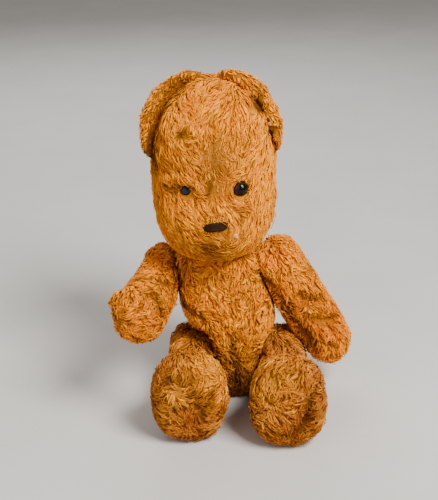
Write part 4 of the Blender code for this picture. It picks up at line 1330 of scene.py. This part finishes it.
def tube(path, radius, sides=THREAD_SIDES):
    """A closed tube along points in metres, finer at its ends; returns its points and triangles."""
    count = len(path)
    run = unit(np.gradient(path, axis=0))
    side = unit(np.cross(run, THREAD_ACROSS))
    up = np.cross(side, run)
    from_end = np.minimum(np.arange(count), np.arange(count)[::-1])
    thick = np.sqrt(np.clip(from_end / TAPER + POINT, 0, 1))[:, None] * radius
    turns = 2 * math.pi * np.arange(sides) / sides
    rings = [path + (side * math.cos(a) + up * math.sin(a)) * thick for a in turns]
    verts = np.concatenate((path[:1], np.stack(rings, axis=1).reshape(-1, 3), path[-1:]))
    return verts, ball_tris(count + 1, sides)


def curve(points, steps=5):
    """A smooth path through points in millimetres."""
    p = np.array(points, float) * MM
    p = np.vstack((2 * p[0] - p[1], p, 2 * p[-1] - p[-2]))
    out = []
    for i, t in product(range(1, len(p) - 2), np.arange(steps) / steps):
        a, b, c, d = p[i - 1 : i + 3]
        square, cube = (2 * a - 5 * b + 4 * c - d) * t**2, (3 * b - a - 3 * c + d) * t**3
        out.append(0.5 * (2 * b + (c - a) * t + square + cube))
    return np.array(out + [p[-2]])


def on_face(x, z, height):
    """A point in millimetres in front of the head's skin."""
    return (x, from_front(TREES["head"], x * MM, z * MM).y / MM - height, z)


def make_threads(name, rows):
    """rows of (points in millimetres, radius, colour)."""
    verts, tris, colours, total = [], [], [], 0
    for points, radius, colour in rows:
        v, f = tube(curve(points), radius * MM)
        verts.append(v)
        tris.append(f + total)
        colours.append(np.tile(colour, (len(v), 1)))
        total += len(v)
    obj = mesh_object(name, np.vstack(verts), np.vstack(tris), THREAD, "head")
    set_tint(obj.data, np.vstack(colours))


def knot(at, size):
    """A small overhand knot with a short end."""
    at = np.array(at)
    turns = np.linspace(0, 5.6, 8)
    ring = [at + size * np.array((math.cos(a), 0.45 * math.sin(2 * a), math.sin(a))) for a in turns]
    return [*ring, at + np.array((size * 1.6, -0.3, -size * 1.5))]


def all_threads():
    """Knots left from the mouth and the ear, the forehead's seam, and loose ends round it and above the nose."""
    rng = np.random.default_rng(77)
    seam = [on_face(-17 + rng.uniform(-0.5, 0.5), z, 0.2) for z in range(216, 190, -3)]
    rows = [(knot(on_face(-2, 145.5, 1.8), 1.0), 1.0, WAXED), (knot((22, -21.5, 218.5), 0.8), 0.7, OLD_THREAD),
            (seam, 0.20, SEAM)]
    for x, z, rise in ((-17.6, 188, 4), (-16.4, 184, 5), (-17.2, 180, 4), (-15.6, 178, 3), (3.5, 182.5, 3)):
        a, b = rng.uniform(-1.2, 1.2, 2)
        path = [on_face(x, z, 0.6), on_face(x + a, z + rise / 2, 1.7), on_face(x + b, z + rise, 1.0)]
        rows.append((path, 0.22, PALE))
    for i in range(7):
        x = -21 + 2.2 * i + rng.uniform(-0.6, 0.6)
        path = [on_face(x, 156.4, 1.0), on_face(x + rng.uniform(-1, 1), 158.2, 2.0), on_face(x, 160.5, 1.0)]
        rows.append((path, 0.20, PALE))
    for _ in range(9):
        x, z = 11 + rng.uniform(-2, 2), 227 + rng.uniform(-2, 2)
        a, b = rng.uniform(-1.5, 1.5, 2)
        rows.append(([on_face(x - 2, z + 1, 0.8), on_face(x, z, 2.2), on_face(x + a, z + b, 1.2)], 0.20, PALE))
    return rows


make_threads("head_threads", all_threads())

# --- Inner pieces ---

for name, obj in NODES.items():
    kind = name.rsplit("_", 1)[-1]
    kind = "steel" if kind in ("washer", "pin", "shank") else kind
    if kind in INNER:
        for place in obj.material_slots:
            place.material = INNER[kind]

# --- Stage ---


def make_stage():
    half = FLOOR_SIZE / 2
    mesh = bpy.data.meshes.new("floor")
    mesh.from_pydata([(-half, -half, 0), (half, -half, 0), (half, half, 0), (-half, half, 0)], [], [(0, 1, 2, 3)])
    mesh.materials.append(FLOOR)
    placed("floor", mesh)


def make_light(name, place, size, power, colour):
    data = bpy.data.lights.new(name, "AREA")
    data.shape, data.size, data.energy, data.color = "SQUARE", size, power, colour
    lamp = placed(name, data)
    lamp.location = place
    lamp.rotation_euler = (CAMERA_TARGET - Vector(place)).to_track_quat("-Z", "Y").to_euler()


def make_camera():
    data = bpy.data.cameras.new("camera")
    data.sensor_width, data.lens = CAMERA_SENSOR, CAMERA_LENS
    data.shift_x, data.shift_y = CAMERA_SHIFT
    camera = placed("camera", data)
    back = Vector((0, -math.cos(CAMERA_HEIGHT), math.sin(CAMERA_HEIGHT)))
    camera.location = CAMERA_TARGET + back * CAMERA_DISTANCE
    camera.rotation_euler = (-back).to_track_quat("-Z", "Y").to_euler()
    bpy.context.scene.camera = camera


make_stage()
for name, light in LIGHTS.items():
    make_light(name, *light)
world = bpy.data.worlds.new("studio")
world.use_nodes = True
for key, value in SURROUNDINGS.items():
    world.node_tree.nodes["Background"].inputs[key].default_value = value
bpy.context.scene.world = world
make_camera()
